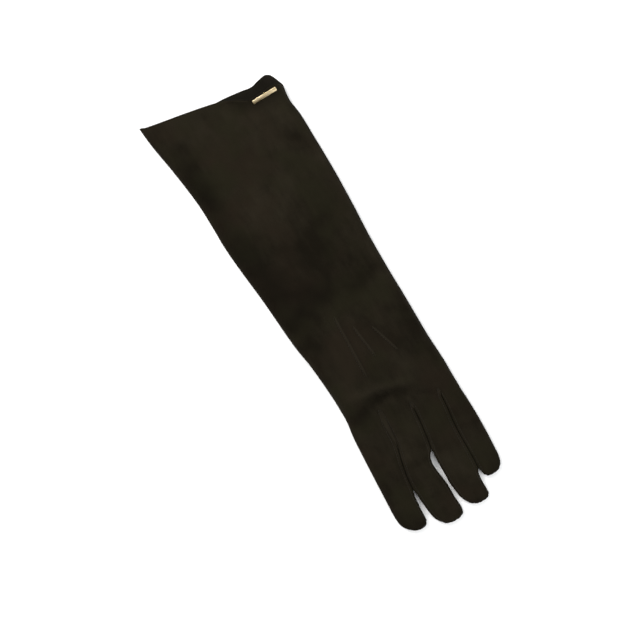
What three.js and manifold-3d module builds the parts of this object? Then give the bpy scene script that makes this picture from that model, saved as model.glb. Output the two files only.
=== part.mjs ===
// Long suede dress glove for the left hand, empty, lying flat with the back of the hand up.
// Millimetres. +Y runs from the cuff to the fingertips, +X towards the thumb side, +Z up from the surface
// that the glove lies on. The origin is under the middle of the glove, on that surface.
import * as THREE from 'three';
import { mergeVertices } from 'three/addons/utils/BufferGeometryUtils.js';
import Module from 'manifold-3d';

const wasm = await Module();
wasm.setup();

// Driving dimensions
const WALL = 1.1;                // leather
const SEAM_GAP = 0.3;            // between two pieces of leather
const PARTING_GAP = 0.9;         // the same where two fingers part
const EDGE_ROUND = 6;            // reach of the rounded fold at each side of the arm
const FOLD_HEIGHT = 0.45;        // how high up the wall the side fold stands out furthest
const CROWN_DROP = 0.09;         // how much lower the arm's top is at its sides than along its middle
const FINGER_SQUARENESS = 2.8;   // exponent of the fingers' rounded-rectangle sections
const SEAM_ANGLE = 40;           // where a finger's side wall meets its back and front, degrees
const COLUMNS = 24;              // leather columns across the back, as many again across the palm
const FINGER_COLUMNS = 6;
const FOLD_COLUMNS = 3;          // columns that round each side fold
const ARM_ROWS = [0, 0.015, 0.035, 0.06, 0.1, 0.17, 0.26, 0.37, 0.47, 0.55, 0.61, 0.66, 0.71,
  0.76, 0.81, 0.855, 0.89, 0.92, 0.955, 1];

// Edges of the flat arm, from the cuff to the knuckles
const RADIAL_EDGE = table(['y', 'x'], [
  [-193.9, 56.6], [-177, 55.3], [-152, 51.9], [-121, 48.9], [-98, 48.8], [-80, 49.2], [-60, 48.2],
  [-29, 45.9], [2, 44.5], [18, 43.3], [33.5, 41.3], [65, 39.8], [84, 40.4]]);
const ULNAR_EDGE = table(['y', 'x'], [
  [-165, -56.4], [-157, -54.9], [-150, -54.4], [-138, -55.7], [-121, -55.5], [-91, -55], [-60, -53.4],
  [-29, -51], [2, -49.8], [20, -49.6], [40, -49.1], [60, -48.6], [80, -49], [98, -48.8]]);

// Rim of the cuff, under layer and back layer: the back layer stands open beside the plate
const RIM_PALM = table(['x', 'y'], [
  [-56.4, -165], [-54.8, -170], [-52.4, -175.4], [-48.5, -177.5], [-44, -177], [-40, -176.4],
  [-36, -175.2], [-32, -175.6], [-28, -176.5], [-12, -178.9], [0, -180.6], [20, -185.1], [52, -192],
  [56.6, -193.9]]);
const RIM_BACK = table(['x', 'y'], [
  [-56.4, -165], [-49.5, -168.7], [-27.7, -168.9], [-18.3, -173.7], [-8.2, -178.4], [0, -180.4],
  [20, -185], [52, -191.9], [56.6, -193.9]]);

// Where two fingers part, and the line that the finger roots follow
const CROTCHES = table(['x', 'y'], [[14, 88.1], [-9.8, 95.9], [-33.2, 98.3]]);
const ROOT_LINE = table(['x', 'y'], [
  [-49, 98], [-33.2, 98.3], [-9.8, 95.9], [14, 88.1], [40, 84]]);
const ROOT_VALLEY = { length: 16, width: 3.2, back: 2.4, palm: 1.3 };
const PARTING_BULGE = 0.5;       // how far a side wall bows out where two fingers part

// Height of the arm's back above the surface
const ARM_HEIGHT = table(['y', 'height'], [
  [-195, 12.5], [-100, 12], [-40, 12.6], [20, 14], [75, 14.8], [98, 13.7]]);

// The cuff's back layer stands up beside the metal plate
const FLARE = { from: -50.5, to: -27.2, fade: 26, fadeUlnar: 5.5, length: 15, rise: 10, beyond: 1.2 };

// Soft folds in the back: a ridge or, below zero, a valley along a line
const FOLDS = table(['x0', 'y0', 'x1', 'y1', 'width', 'rise'], [
  [35, 86.5, 3, 82.5, 3.4, -2.1],
  [3, 82.5, -12, 89, 3, -1.7],
  [34, 68, 24, 70, 9, 1.0],
  [36, -20, 15, -13, 10, -1.2],
  [20, -92, -50, -88, 12, 0.9],
  [24, -60, -20, -30, 14, -0.9],
  [-32, -150, -50, -158, 6, -1.0],
  [10, -165, 40, -172, 12, 0.8]]);

// The three points, raised tucks in the back of the hand
const POINTS = table(['x0', 'y0', 'x1', 'y1'], [
  [4.7, 10.9, 11.3, 66.3], [-4.3, 24.2, -6.8, 52.3], [-16, 30.4, -24.6, 59.3]]);
const POINT_WIDTH = 1.9;
const POINT_RISE = 0.9;
const POINT_SINK = 0.55;
const POINT_STEPS = 8;
const POINT_CREST = 0.44;         // share of the width that is level on top
const POINT_TAPER = { end: 0.35, rate: 5 };   // share of the width at each end, and how soon it is full

// Fingers, from the root to the tip: y at the ulnar and the thumb side, both edges, underside and back
const FINGER_TABLE = ['yUlnar', 'yRadial', 'xUlnar', 'xRadial', 'under', 'back'];
const FINGERS = {
  index: table(FINGER_TABLE, [
    [92, 88.5, 14.7, 41.2, 0, 12.8], [104, 101, 15.9, 42.9, 0, 12.5], [119, 118, 17.2, 44.4, 0, 12.2],
    [135, 135, 21.4, 45.8, 0, 12], [156, 156, 25.4, 47.4, 0, 11.7], [166, 166, 26.7, 48.1, 0, 10.8],
    [174, 174, 27.5, 47.7, 0, 9.6], [179, 179, 27.8, 45.4, 0.2, 8.5], [182.5, 182.5, 28.8, 42, 0.6, 7.3],
    [184.8, 184.8, 30.8, 38, 1.4, 5.8], [185.7, 185.7, 33.8, 33.8, 3.5, 3.5]]),
  middle: table(FINGER_TABLE, [
    [99.5, 92, -9.3, 14, 0, 12.6], [107, 103, -8.7, 15.1, 0, 12.3], [119.5, 119.5, -7, 16.4, 0, 12.1],
    [135, 135, -4, 20.6, 0, 12], [143, 143, 0, 22.6, 0, 11.9], [150, 150, 1, 23.6, 0, 11.7],
    [164, 164, -0.2, 24, 0, 10.9], [178, 178, -0.1, 23.2, 0, 9.6], [185, 185, -0.4, 21.7, 0, 8.6],
    [189.5, 189.5, 0, 18.7, 0.4, 7.4], [192.3, 192.3, 1.9, 15.5, 0.8, 6.4],
    [193.6, 193.6, 4.6, 11.6, 1.6, 5.3], [193.9, 193.9, 8, 8, 3.5, 3.5]]),
  ring: table(FINGER_TABLE, [
    [101.5, 99.5, -32.8, -10.1, 0, 12.3], [107, 105, -32.5, -9.5, 0, 11.9],
    [119.5, 119.5, -31, -7.8, 0, 11.6], [127, 127, -29.6, -6.7, 0, 11.5], [135, 135, -29, -5, 0, 11.4],
    [143, 143, -28.6, -3.5, 0, 11.2], [155, 155, -28, -2.9, 0, 10.8], [166, 166, -27.1, -2.4, 0, 10.1],
    [173, 173, -25.4, -2.8, 0, 9.4], [180, 180, -24.6, -3.6, 0, 8.7], [186, 186, -24.5, -6, 0.2, 7.8],
    [189.6, 189.6, -23.6, -9.3, 0.6, 6.9], [191.6, 191.6, -21.9, -12.6, 1.4, 5.7],
    [192.4, 192.4, -17.4, -17.4, 3.5, 3.5]]),
  little: table(FINGER_TABLE, [
    [101, 102, -48.7, -33.5, 0, 11.8], [110, 111, -48.3, -32.9, 0, 11.3],
    [119.5, 119.5, -48.5, -31.8, 0, 11], [135, 135, -48.3, -29.7, 0, 10.7],
    [150, 150, -47.5, -29, 0, 10.3], [161, 161, -46.5, -28.5, 0, 9.5], [168, 168, -45.9, -28, 0, 8.7],
    [172.8, 172.8, -44.6, -28.1, 0.2, 7.7], [176.1, 176.1, -42.5, -29.4, 0.8, 6.6],
    [177.9, 177.9, -40, -31.3, 1.5, 5.5], [178.6, 178.6, -35.8, -35.8, 3.4, 3.4]]),
};
const ROW_STEPS = 2;             // leather rows for each row of a finger's table
const ROOT_SEAM_ANGLE = 30;      // the seam starts nearer the finger's side at its root
const WINDOW_END = 2;            // table rows before the tip where the side wall has tapered away
const WINDOW_TAPER = 1.5;        // table rows over which it tapers
const WALL_COLUMNS = 3;          // columns across a side wall

// The thumb's pouch, flat under the palm: distance from its root, half width, underside and back
const THUMB_ROOT = new THREE.Vector2(30, -4);
const THUMB_TIP = new THREE.Vector2(16.5, 69);
const THUMB = table(['along', 'half', 'under', 'back'], [
  [0, 0, 1.6, 1.6], [1, 5, 0.4, 2.8], [4, 9.6, 0, 3.1], [11, 12, 0, 3.1], [22, 12.6, 0, 3.1],
  [36, 12, 0, 3.1], [50, 11.2, 0, 3.1], [62, 10.2, 0, 3.1], [69, 8.2, 0, 3.1], [72.8, 4.6, 0.4, 2.8],
  [74.2, 0, 1.6, 1.6]]);
const THUMB_WALL = 1.05;
const THUMB_SIDE_WALL = 1.8;     // thicker along the fold, where the two layers meet
const THUMB_COLUMNS = 16;
const THUMB_SQUARENESS = 3.2;
const THUMB_HOLE = { along: 20, halfLength: 13, halfWidth: 7.5, above: 1, segments: 24 };
const HUMP = { half: 12, height: 3.4, margin: 4, slope: 10, throughBack: 0.5 };

// The bare metal plate on the cuff
const PLATE = { length: 21, width: 5, thickness: 0.8, corner: 0.8, x: -39.5, inland: 4.6 };
const PLATE_SAG = 0.6;           // the hollow of the slope under the flat plate

const LEATHER_COLOUR = 0x231f18;
const LEATHER_EDGE_COLOUR = 0x2a251d;
const METAL_COLOUR = 0xe3cf98;

function table(columns, rows) {
  return rows.map((row) => Object.fromEntries(columns.map((name, i) => [name, row[i]])));
}

// Value of a table's column on a smooth curve through its rows, where key is the column that rises
function smoothAt(rows, key, value, at) {
  const last = rows.length - 1;
  if (at <= rows[0][key]) return rows[0][value];
  if (at >= rows[last][key]) return rows[last][value];
  const i = rows.findIndex((row) => row[key] > at) - 1;
  const slope = (k) => {
    const a = rows[Math.max(k - 1, 0)];
    const b = rows[Math.min(k + 1, last)];
    return (b[value] - a[value]) / (b[key] - a[key]);
  };
  const span = rows[i + 1][key] - rows[i][key];
  return hermite(rows[i][value], rows[i + 1][value], slope(i) * span, slope(i + 1) * span,
    (at - rows[i][key]) / span);
}

// The same for a column read by the row's number, which may lie between two rows
function rowAt(rows, value, at) {
  const last = rows.length - 1;
  const i = Math.min(Math.max(Math.floor(at), 0), last - 1);
  const slope = (k) => {
    const a = Math.max(k - 1, 0);
    const b = Math.min(k + 1, last);
    return (rows[b][value] - rows[a][value]) / (b - a);
  };
  return hermite(rows[i][value], rows[i + 1][value], slope(i), slope(i + 1), at - i);
}

function hermite(a, b, slopeA, slopeB, t) {
  const t2 = t * t;
  const t3 = t2 * t;
  return a * (2 * t3 - 3 * t2 + 1) + slopeA * (t3 - 2 * t2 + t) + b * (3 * t2 - 2 * t3) + slopeB * (t3 - t2);
}

function smoothstep(from, to, at) {
  return THREE.MathUtils.smoothstep(at, from, to);
}

// Distance from a point to a line between two points
function distanceToLine(x, y, x0, y0, x1, y1) {
  const dx = x1 - x0;
  const dy = y1 - y0;
  const t = THREE.MathUtils.clamp(((x - x0) * dx + (y - y0) * dy) / (dx * dx + dy * dy), 0, 1);
  return Math.hypot(x - x0 - t * dx, y - y0 - t * dy);
}

const thumbAxis = THUMB_TIP.clone().sub(THUMB_ROOT).normalize();
const thumbAcross = new THREE.Vector2(thumbAxis.y, -thumbAxis.x);

// How far the palm is lifted over the folded thumb
function palmLift(x, y) {
  const dx = x - THUMB_ROOT.x;
  const dy = y - THUMB_ROOT.y;
  const length = THUMB[THUMB.length - 1].along;
  const along = dx * thumbAxis.x + dy * thumbAxis.y;
  const aside = Math.abs(dx * thumbAcross.x + dy * thumbAcross.y);
  const beyond = Math.max(HUMP.half - along, along - (length - HUMP.half), 0);
  const outside = Math.hypot(beyond, aside) - HUMP.half;
  return HUMP.height * (1 - smoothstep(HUMP.margin, HUMP.margin + HUMP.slope, outside));
}

// The cuff's back layer rises towards its rim beside the plate
function flareRise(x, y) {
  const reach = 1 - (y - smoothAt(RIM_BACK, 'x', 'y', x)) / FLARE.length;
  if (reach <= 0) return 0;
  const ulnar = smoothstep(FLARE.from - FLARE.fadeUlnar, FLARE.from, x);
  const radial = 1 - smoothstep(FLARE.to, FLARE.to + FLARE.fade, x);
  return FLARE.rise * Math.min(ulnar, radial) * Math.min(reach, FLARE.beyond) ** 2;
}

function foldRise(x, y) {
  return FOLDS.reduce((sum, fold) => {
    const distance = distanceToLine(x, y, fold.x0, fold.y0, fold.x1, fold.y1);
    return sum + fold.rise * Math.exp(-((distance / fold.width) ** 2));
  }, 0);
}

// Valleys that run into the partings between the fingers
function rootValley(x, y, depth) {
  return CROTCHES.reduce((sum, crotch) => {
    const near = smoothstep(crotch.y - ROOT_VALLEY.length, crotch.y, y);
    return sum + depth * near * Math.exp(-(((x - crotch.x) / ROOT_VALLEY.width) ** 2));
  }, 0);
}

function backHeight(x, y, aside) {
  const crown = smoothAt(ARM_HEIGHT, 'y', 'height', y) * (1 - CROWN_DROP * aside * aside);
  return crown + HUMP.throughBack * palmLift(x, y) + flareRise(x, y) + foldRise(x, y)
    - rootValley(x, y, ROOT_VALLEY.back);
}

function underHeight(x, y) {
  return palmLift(x, y) + rootValley(x, y, ROOT_VALLEY.palm);
}

// Place of a column between the two edges of the arm: 0 at the thumb side, COLUMNS at the other.
// The columns keep the fingers' shares of the width from the knuckles to the cuff.
const rootRadial = RADIAL_EDGE[RADIAL_EDGE.length - 1].x;
const rootUlnar = ULNAR_EDGE[ULNAR_EDGE.length - 1].x;
const fingerShares = CROTCHES.map((crotch) => (rootRadial - crotch.x) / (rootRadial - rootUlnar));

function armColumn(column, radial, ulnar) {
  const width = radial - ulnar;
  const aside = Math.min(column, COLUMNS - column);
  if (aside < FOLD_COLUMNS) {
    const turn = (aside / FOLD_COLUMNS) * (Math.PI / 2);
    const inward = EDGE_ROUND * (1 - Math.cos(turn));
    return { x: column < COLUMNS / 2 ? radial - inward : ulnar + inward, lift: Math.sin(turn) };
  }
  const knots = table(['column', 'x'], [
    [FOLD_COLUMNS, radial - EDGE_ROUND],
    ...fingerShares.map((share, i) => [(i + 1) * FINGER_COLUMNS, radial - share * width]),
    [COLUMNS - FOLD_COLUMNS, ulnar + EDGE_ROUND]]);
  const i = Math.min(knots.findIndex((knot) => knot.column >= column - 1e-9), knots.length - 1);
  if (i === 0) return { x: knots[0].x, lift: 1 };
  const t = (column - knots[i - 1].column) / (knots[i].column - knots[i - 1].column);
  return { x: THREE.MathUtils.lerp(knots[i - 1].x, knots[i].x, t), lift: 1 };
}

// A point of the arm's outer face. around: 0 at the thumb side, over the back to COLUMNS at the other side
// and under the palm to twice that. along: 0 at the rim, 1 at the roots of the fingers.
function armPoint(around, along) {
  const turn = ((around % (2 * COLUMNS)) + 2 * COLUMNS) % (2 * COLUMNS);
  const onBack = turn <= COLUMNS;
  const column = onBack ? turn : 2 * COLUMNS - turn;
  const rim = onBack ? RIM_BACK : RIM_PALM;
  const radialY = THREE.MathUtils.lerp(RADIAL_EDGE[0].y, RADIAL_EDGE[RADIAL_EDGE.length - 1].y, along);
  const ulnarY = THREE.MathUtils.lerp(ULNAR_EDGE[0].y, ULNAR_EDGE[ULNAR_EDGE.length - 1].y, along);
  const radial = smoothAt(RADIAL_EDGE, 'y', 'x', radialY);
  const ulnar = smoothAt(ULNAR_EDGE, 'y', 'x', ulnarY);
  const { x, lift } = armColumn(column, radial, ulnar);
  const atRim = armColumn(column, RADIAL_EDGE[0].x, ULNAR_EDGE[0].x).x;
  const atRoot = armColumn(column, rootRadial, rootUlnar).x;
  const y = THREE.MathUtils.lerp(smoothAt(rim, 'x', 'y', atRim), smoothAt(ROOT_LINE, 'x', 'y', atRoot), along);
  const aside = (2 * x - radial - ulnar) / (radial - ulnar);
  const under = underHeight(x, y);
  const back = backHeight(x, y, aside);
  const fold = THREE.MathUtils.lerp(under, back, FOLD_HEIGHT);
  return new THREE.Vector3(x, y, THREE.MathUtils.lerp(fold, onBack ? back : under, lift));
}

// A point of a finger's outer face. angle: 0 at the thumb side, 90 on the back, 180 at the other side.
function fingerPoint(rows, angle, row) {
  const radians = THREE.MathUtils.degToRad(angle);
  const across = roundedCosine(Math.cos(radians), FINGER_SQUARENESS);
  const upward = roundedCosine(Math.sin(radians), FINGER_SQUARENESS);
  const xRadial = rowAt(rows, 'xRadial', row);
  const xUlnar = rowAt(rows, 'xUlnar', row);
  const under = Math.max(rowAt(rows, 'under', row), 0);
  const back = rowAt(rows, 'back', row);
  return new THREE.Vector3(
    (xRadial + xUlnar) / 2 + ((xRadial - xUlnar) / 2) * across,
    THREE.MathUtils.lerp(rowAt(rows, 'yUlnar', row), rowAt(rows, 'yRadial', row), (1 + across) / 2),
    (under + back) / 2 + ((back - under) / 2) * upward);
}

function roundedCosine(value, squareness) {
  return Math.sign(value) * Math.abs(value) ** (2 / squareness);
}

// Direction into the leather at a point of a surface, from the surface's own slopes
function inwardAt(surface, around, along, alongEnd) {
  const stepAround = 0.2;
  const stepAlong = 0.01;
  const a = surface(around + stepAround, along);
  const b = surface(around - stepAround, along);
  const c = surface(around, Math.min(along + stepAlong, alongEnd));
  const d = surface(around, Math.max(along - stepAlong, 0));
  return a.sub(b).cross(c.sub(d)).normalize();
}

// A sheet of leather, told by its outer face: named points with the direction into the leather
class Sheet {
  constructor() {
    this.ids = new Map();
    this.outer = [];
    this.inward = [];
    this.faces = [];
  }

  point(name, place, inward) {
    if (!this.ids.has(name)) {
      this.ids.set(name, this.outer.length);
      this.outer.push(place());
      this.inward.push(inward());
    }
    return this.ids.get(name);
  }

  // Corners in order, seen from outside; corners that coincide make it a triangle
  face(...corners) {
    const ring = corners.filter((id, i) => id !== corners[(i + 1) % corners.length]);
    if (ring.length >= 3) this.faces.push(ring.slice(0, 3));
    if (ring.length === 4) this.faces.push([ring[0], ring[2], ring[3]]);
  }

  // The closed wall between the outer face and the same face moved inward
  solid(wall) {
    const count = this.outer.length;
    const inner = this.outer.map((p, i) => p.clone().addScaledVector(this.inward[i], wall));
    const triangles = [];
    const edges = new Map();
    for (const [a, b, c] of this.faces) {
      triangles.push([a, b, c], [c + count, b + count, a + count]);
      for (const [from, to] of [[a, b], [b, c], [c, a]]) edges.set(`${from},${to}`, [from, to]);
    }
    for (const [from, to] of edges.values()) {
      if (!edges.has(`${to},${from}`)) {
        triangles.push([to, from, from + count], [to, from + count, to + count]);
      }
    }
    return solidFromTriangles([...this.outer, ...inner], triangles);
  }
}

function solidFromTriangles(points, triangles) {
  return new wasm.Manifold(new wasm.Mesh({
    numProp: 3,
    vertProperties: new Float32Array(points.flatMap((p) => [p.x, p.y, p.z])),
    triVerts: new Uint32Array(triangles.flat()),
  }));
}

function solidFromGeometry(geometry) {
  const bare = geometry.clone();
  bare.deleteAttribute('normal');
  bare.deleteAttribute('uv');
  const merged = mergeVertices(bare, 1e-4);
  return new wasm.Manifold(new wasm.Mesh({
    numProp: 3,
    vertProperties: new Float32Array(merged.attributes.position.array),
    triVerts: new Uint32Array(merged.index.array),
  }));
}

function meshFromSolid(name, solid, material) {
  const { vertProperties, triVerts } = solid.getMesh();
  const geometry = new THREE.BufferGeometry();
  geometry.setAttribute('position', new THREE.BufferAttribute(vertProperties, 3));
  geometry.setIndex(new THREE.BufferAttribute(triVerts, 1));
  geometry.computeVertexNormals();
  const mesh = new THREE.Mesh(geometry, material);
  mesh.name = name;
  return mesh;
}

// Half of a finger's seam opening, as an angle above and below the middle of its side
function seamAngle(rows, row) {
  const end = rows.length - 1 - WINDOW_END;
  const opening = THREE.MathUtils.lerp(ROOT_SEAM_ANGLE, SEAM_ANGLE, smoothstep(0, 1, row));
  return opening * THREE.MathUtils.clamp((end - row) / WINDOW_TAPER, 0, 1);
}

// Where each finger sits on the arm's columns, and which of its sides have a side wall
const FINGER_ORDER = [
  { name: 'index', wallRadial: false, wallUlnar: true },
  { name: 'middle', wallRadial: true, wallUlnar: true },
  { name: 'ring', wallRadial: true, wallUlnar: true },
  { name: 'little', wallRadial: true, wallUlnar: false }];

// Into the leather at a parting, halfway between the back or palm and the side wall
const PARTING_BACK = new THREE.Vector3(0, -1, -1).normalize();
const PARTING_PALM = new THREE.Vector3(0, -1, 1).normalize();

function addArm(sheet) {
  const ring = (along) => {
    const ids = [];
    for (let i = 0; i < 2 * COLUMNS; i += 1) {
      const column = i <= COLUMNS ? i : 2 * COLUMNS - i;
      const parting = along === 1 && column % FINGER_COLUMNS === 0 && column > 0 && column < COLUMNS;
      const tilt = i <= COLUMNS ? PARTING_BACK : PARTING_PALM;
      ids.push(sheet.point(`arm ${i} ${along}`, () => armPoint(i, along),
        () => (parting ? tilt.clone() : inwardAt(armPoint, i, along, 1))));
    }
    return ids;
  };
  let previous = ring(ARM_ROWS[0]);
  for (const along of ARM_ROWS.slice(1)) {
    const next = ring(along);
    for (let i = 0; i < 2 * COLUMNS; i += 1) {
      const j = (i + 1) % (2 * COLUMNS);
      sheet.face(previous[i], next[i], next[j], previous[j]);
    }
    previous = next;
  }
}

// The back and the front of one finger, joined along its fold, past its side walls and at its tip
function addFinger(sheet, place) {
  const { name, wallRadial, wallUlnar } = FINGER_ORDER[place];
  const rows = FINGERS[name];
  const surface = (angle, row) => fingerPoint(rows, angle, row);
  const last = rows.length - 1;
  const firstColumn = place * FINGER_COLUMNS;
  const line = (row, under) => {
    const ids = [];
    const seam = seamAngle(rows, row);
    const start = wallRadial ? seam : 0;
    const end = 180 - (wallUlnar ? seam : 0);
    for (let i = 0; i <= FINGER_COLUMNS; i += 1) {
      const bare = THREE.MathUtils.lerp(start, end, i / FINGER_COLUMNS);
      const angle = under ? -bare : bare;
      const shared = bare === 0 || bare === 180;
      const id = row === last ? `${name} tip` : `${name} ${i} ${row} ${shared ? '' : under}`;
      ids.push(sheet.point(id, () => surface(angle, row),
        () => (row === last ? new THREE.Vector3(0, -1, 0) : inwardAt(surface, angle, row, last))));
    }
    return ids;
  };
  for (const under of [false, true]) {
    let previous = [];
    for (let i = 0; i <= FINGER_COLUMNS; i += 1) {
      const column = firstColumn + i;
      previous.push(sheet.ids.get(`arm ${under && column > 0 ? 2 * COLUMNS - column : column} 1`));
    }
    for (let row = 0; row <= last; row += 1 / ROW_STEPS) {
      const next = line(row, under);
      for (let i = 0; i < FINGER_COLUMNS; i += 1) {
        const corners = [previous[i], next[i], next[i + 1], previous[i + 1]];
        sheet.face(...(under ? corners.reverse() : corners));
      }
      previous = next;
    }
  }
}

// The V-shaped strip between two fingers: down the side of one, round the parting, up the side of the next
function fourchette(place) {
  const crotchColumn = (place + 1) * FINGER_COLUMNS;
  const sheet = new Sheet();
  const leg = (name, ulnarSide) => {
    const rows = FINGERS[name];
    const last = rows.length - 1;
    const surface = (angle, row) => fingerPoint(rows, angle, row);
    const lines = [];
    for (let row = 0; row < last - WINDOW_END; row += 1 / ROW_STEPS) {
      const ids = [];
      const edge = seamAngle(rows, row);
      for (let i = 0; i <= WALL_COLUMNS; i += 1) {
        const back = i <= WALL_COLUMNS / 2;
        const turn = THREE.MathUtils.lerp(edge, -edge, i / WALL_COLUMNS);
        const gap = i === 0 || i === WALL_COLUMNS ? angleOfGap(surface, turn, row, ulnarSide) : 0;
        const shrunk = turn - (back ? gap : -gap);
        const angle = ulnarSide ? 180 - shrunk : shrunk;
        ids.push(sheet.point(`${name} ${i} ${row}`, () => surface(angle, row),
          () => inwardAt(surface, angle, row, last)));
      }
      lines.push(ids);
    }
    return lines;
  };
  const top = armPoint(crotchColumn, 1);
  const bottom = armPoint(2 * COLUMNS - crotchColumn, 1);
  top.addScaledVector(new THREE.Vector3(0, 1, -1).normalize(), PARTING_GAP);
  bottom.addScaledVector(new THREE.Vector3(0, 1, 1).normalize(), PARTING_GAP);
  const parting = [];
  for (let i = 0; i <= WALL_COLUMNS; i += 1) {
    const t = i / WALL_COLUMNS;
    const lean = THREE.MathUtils.lerp(45, -45, t) * (Math.PI / 180);
    const bulge = PARTING_BULGE * Math.sin(Math.PI * t);
    parting.push(sheet.point(`parting ${i}`,
      () => top.clone().lerp(bottom, t).add(new THREE.Vector3(0, bulge, 0)),
      () => new THREE.Vector3(0, -Math.cos(lean), -Math.sin(lean))));
  }
  const near = leg(FINGER_ORDER[place].name, true).reverse();
  const far = leg(FINGER_ORDER[place + 1].name, false);
  const lines = [...near, parting, ...far];
  for (let k = 0; k + 1 < lines.length; k += 1) {
    for (let i = 0; i < WALL_COLUMNS; i += 1) {
      sheet.face(lines[k][i], lines[k][i + 1], lines[k + 1][i + 1], lines[k + 1][i]);
    }
  }
  return sheet.solid(WALL);
}

// The seam's gap as an angle of the finger's section
function angleOfGap(surface, turn, row, ulnarSide) {
  const place = (t) => surface(ulnarSide ? 180 - t : t, row);
  return SEAM_GAP / place(turn + 0.5).distanceTo(place(turn - 0.5));
}

// A point of the thumb's outer face, as on a finger
function thumbPoint(angle, row) {
  const radians = THREE.MathUtils.degToRad(angle);
  const across = rowAt(THUMB, 'half', row) * roundedCosine(Math.cos(radians), THUMB_SQUARENESS);
  const upward = roundedCosine(Math.sin(radians), THUMB_SQUARENESS);
  const along = rowAt(THUMB, 'along', row);
  const under = rowAt(THUMB, 'under', row);
  const back = rowAt(THUMB, 'back', row);
  return new THREE.Vector3(
    THUMB_ROOT.x + thumbAxis.x * along + thumbAcross.x * across,
    THUMB_ROOT.y + thumbAxis.y * along + thumbAcross.y * across,
    (under + back) / 2 + ((back - under) / 2) * upward);
}

// The same point on the pouch's inner face: a flat oval that the walls leave free
function thumbHollowPoint(angle, row) {
  const radians = THREE.MathUtils.degToRad(angle);
  const length = THUMB[THUMB.length - 1].along;
  const along = THUMB_WALL + rowAt(THUMB, 'along', row) * (1 - (2 * THUMB_WALL) / length);
  const across = Math.max(rowAt(THUMB, 'half', row) - THUMB_SIDE_WALL, 0) * Math.cos(radians);
  const under = rowAt(THUMB, 'under', row);
  const back = rowAt(THUMB, 'back', row);
  const halfHeight = Math.max((back - under) / 2 - THUMB_WALL, 0);
  return new THREE.Vector3(
    THUMB_ROOT.x + thumbAxis.x * along + thumbAcross.x * across,
    THUMB_ROOT.y + thumbAxis.y * along + thumbAcross.y * across,
    (under + back) / 2 + halfHeight * Math.sin(radians));
}

function thumbPouch() {
  const sheet = new Sheet();
  const last = THUMB.length - 1;
  const line = (row) => {
    const ids = [];
    for (let i = 0; i < THUMB_COLUMNS; i += 1) {
      const angle = (360 * i) / THUMB_COLUMNS;
      const name = row === 0 || row === last ? `end ${row}` : `${i} ${row}`;
      ids.push(sheet.point(name, () => thumbPoint(angle, row),
        () => thumbHollowPoint(angle, row).sub(thumbPoint(angle, row)).divideScalar(THUMB_WALL)));
    }
    return ids;
  };
  for (let row = 0; row < last; row += 1) {
    const here = line(row);
    const next = line(row + 1);
    for (let i = 0; i < THUMB_COLUMNS; i += 1) {
      const j = (i + 1) % THUMB_COLUMNS;
      sheet.face(here[i], next[i], next[j], here[j]);
    }
  }
  return sheet.solid(THUMB_WALL);
}

// The oval hole through which the thumb goes from the palm into its pouch
function thumbHole() {
  const oval = new THREE.Shape();
  oval.absellipse(0, 0, THUMB_HOLE.halfWidth, THUMB_HOLE.halfLength, 0, 2 * Math.PI);
  const low = smoothAt(THUMB, 'along', 'back', THUMB_HOLE.along) / 2;
  const depth = HUMP.height + WALL + THUMB_HOLE.above - low;
  const cutter = new THREE.ExtrudeGeometry(oval,
    { depth, bevelEnabled: false, curveSegments: THUMB_HOLE.segments / 4 });
  cutter.rotateZ(Math.atan2(thumbAxis.y, thumbAxis.x) - Math.PI / 2);
  cutter.translate(THUMB_ROOT.x + thumbAxis.x * THUMB_HOLE.along,
    THUMB_ROOT.y + thumbAxis.y * THUMB_HOLE.along, low);
  return solidFromGeometry(cutter);
}

// Height of the arm's outer back at a place well inside its edges
function backAt(x, y) {
  const radial = smoothAt(RADIAL_EDGE, 'y', 'x', y);
  const ulnar = smoothAt(ULNAR_EDGE, 'y', 'x', y);
  return backHeight(x, y, (2 * x - radial - ulnar) / (radial - ulnar));
}

// One point: a low ridge with tapered ends that follows the back of the hand
function pointRidge({ x0, y0, x1, y1 }) {
  const length = Math.hypot(x1 - x0, y1 - y0);
  const side = new THREE.Vector2((y1 - y0) / length, -(x1 - x0) / length);
  const profile = table(['across', 'rise'], [
    [0.5, -POINT_SINK], [0.5, 0], [POINT_CREST / 2, POINT_RISE], [-POINT_CREST / 2, POINT_RISE],
    [-0.5, 0], [-0.5, -POINT_SINK]]);
  const points = [];
  const triangles = [];
  for (let k = 0; k <= POINT_STEPS; k += 1) {
    const t = k / POINT_STEPS;
    const taper = Math.min(1, POINT_TAPER.end + POINT_TAPER.rate * Math.min(t, 1 - t));
    for (const { across, rise } of profile) {
      const x = x0 + (x1 - x0) * t + side.x * across * POINT_WIDTH * taper;
      const y = y0 + (y1 - y0) * t + side.y * across * POINT_WIDTH * taper;
      points.push(new THREE.Vector3(x, y, backAt(x, y) + rise * (rise > 0 ? taper : 1)));
    }
  }
  const n = profile.length;
  for (let k = 0; k < POINT_STEPS; k += 1) {
    for (let i = 0; i < n; i += 1) {
      const j = (i + 1) % n;
      triangles.push([k * n + i, (k + 1) * n + i, (k + 1) * n + j], [k * n + i, (k + 1) * n + j, k * n + j]);
    }
  }
  for (let i = 1; i + 1 < n; i += 1) {
    triangles.push([0, i, i + 1], [POINT_STEPS * n, POINT_STEPS * n + i + 1, POINT_STEPS * n + i]);
  }
  return solidFromTriangles(points, triangles);
}

// The leather that makes the arm, the palm, the back and both faces of the fingers
function trank(hole) {
  const sheet = new Sheet();
  addArm(sheet);
  FINGER_ORDER.forEach((_, place) => addFinger(sheet, place));
  const leather = sheet.solid(WALL).subtract(hole);
  return POINTS.reduce((solid, point) => solid.add(pointRidge(point)), leather);
}

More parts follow.
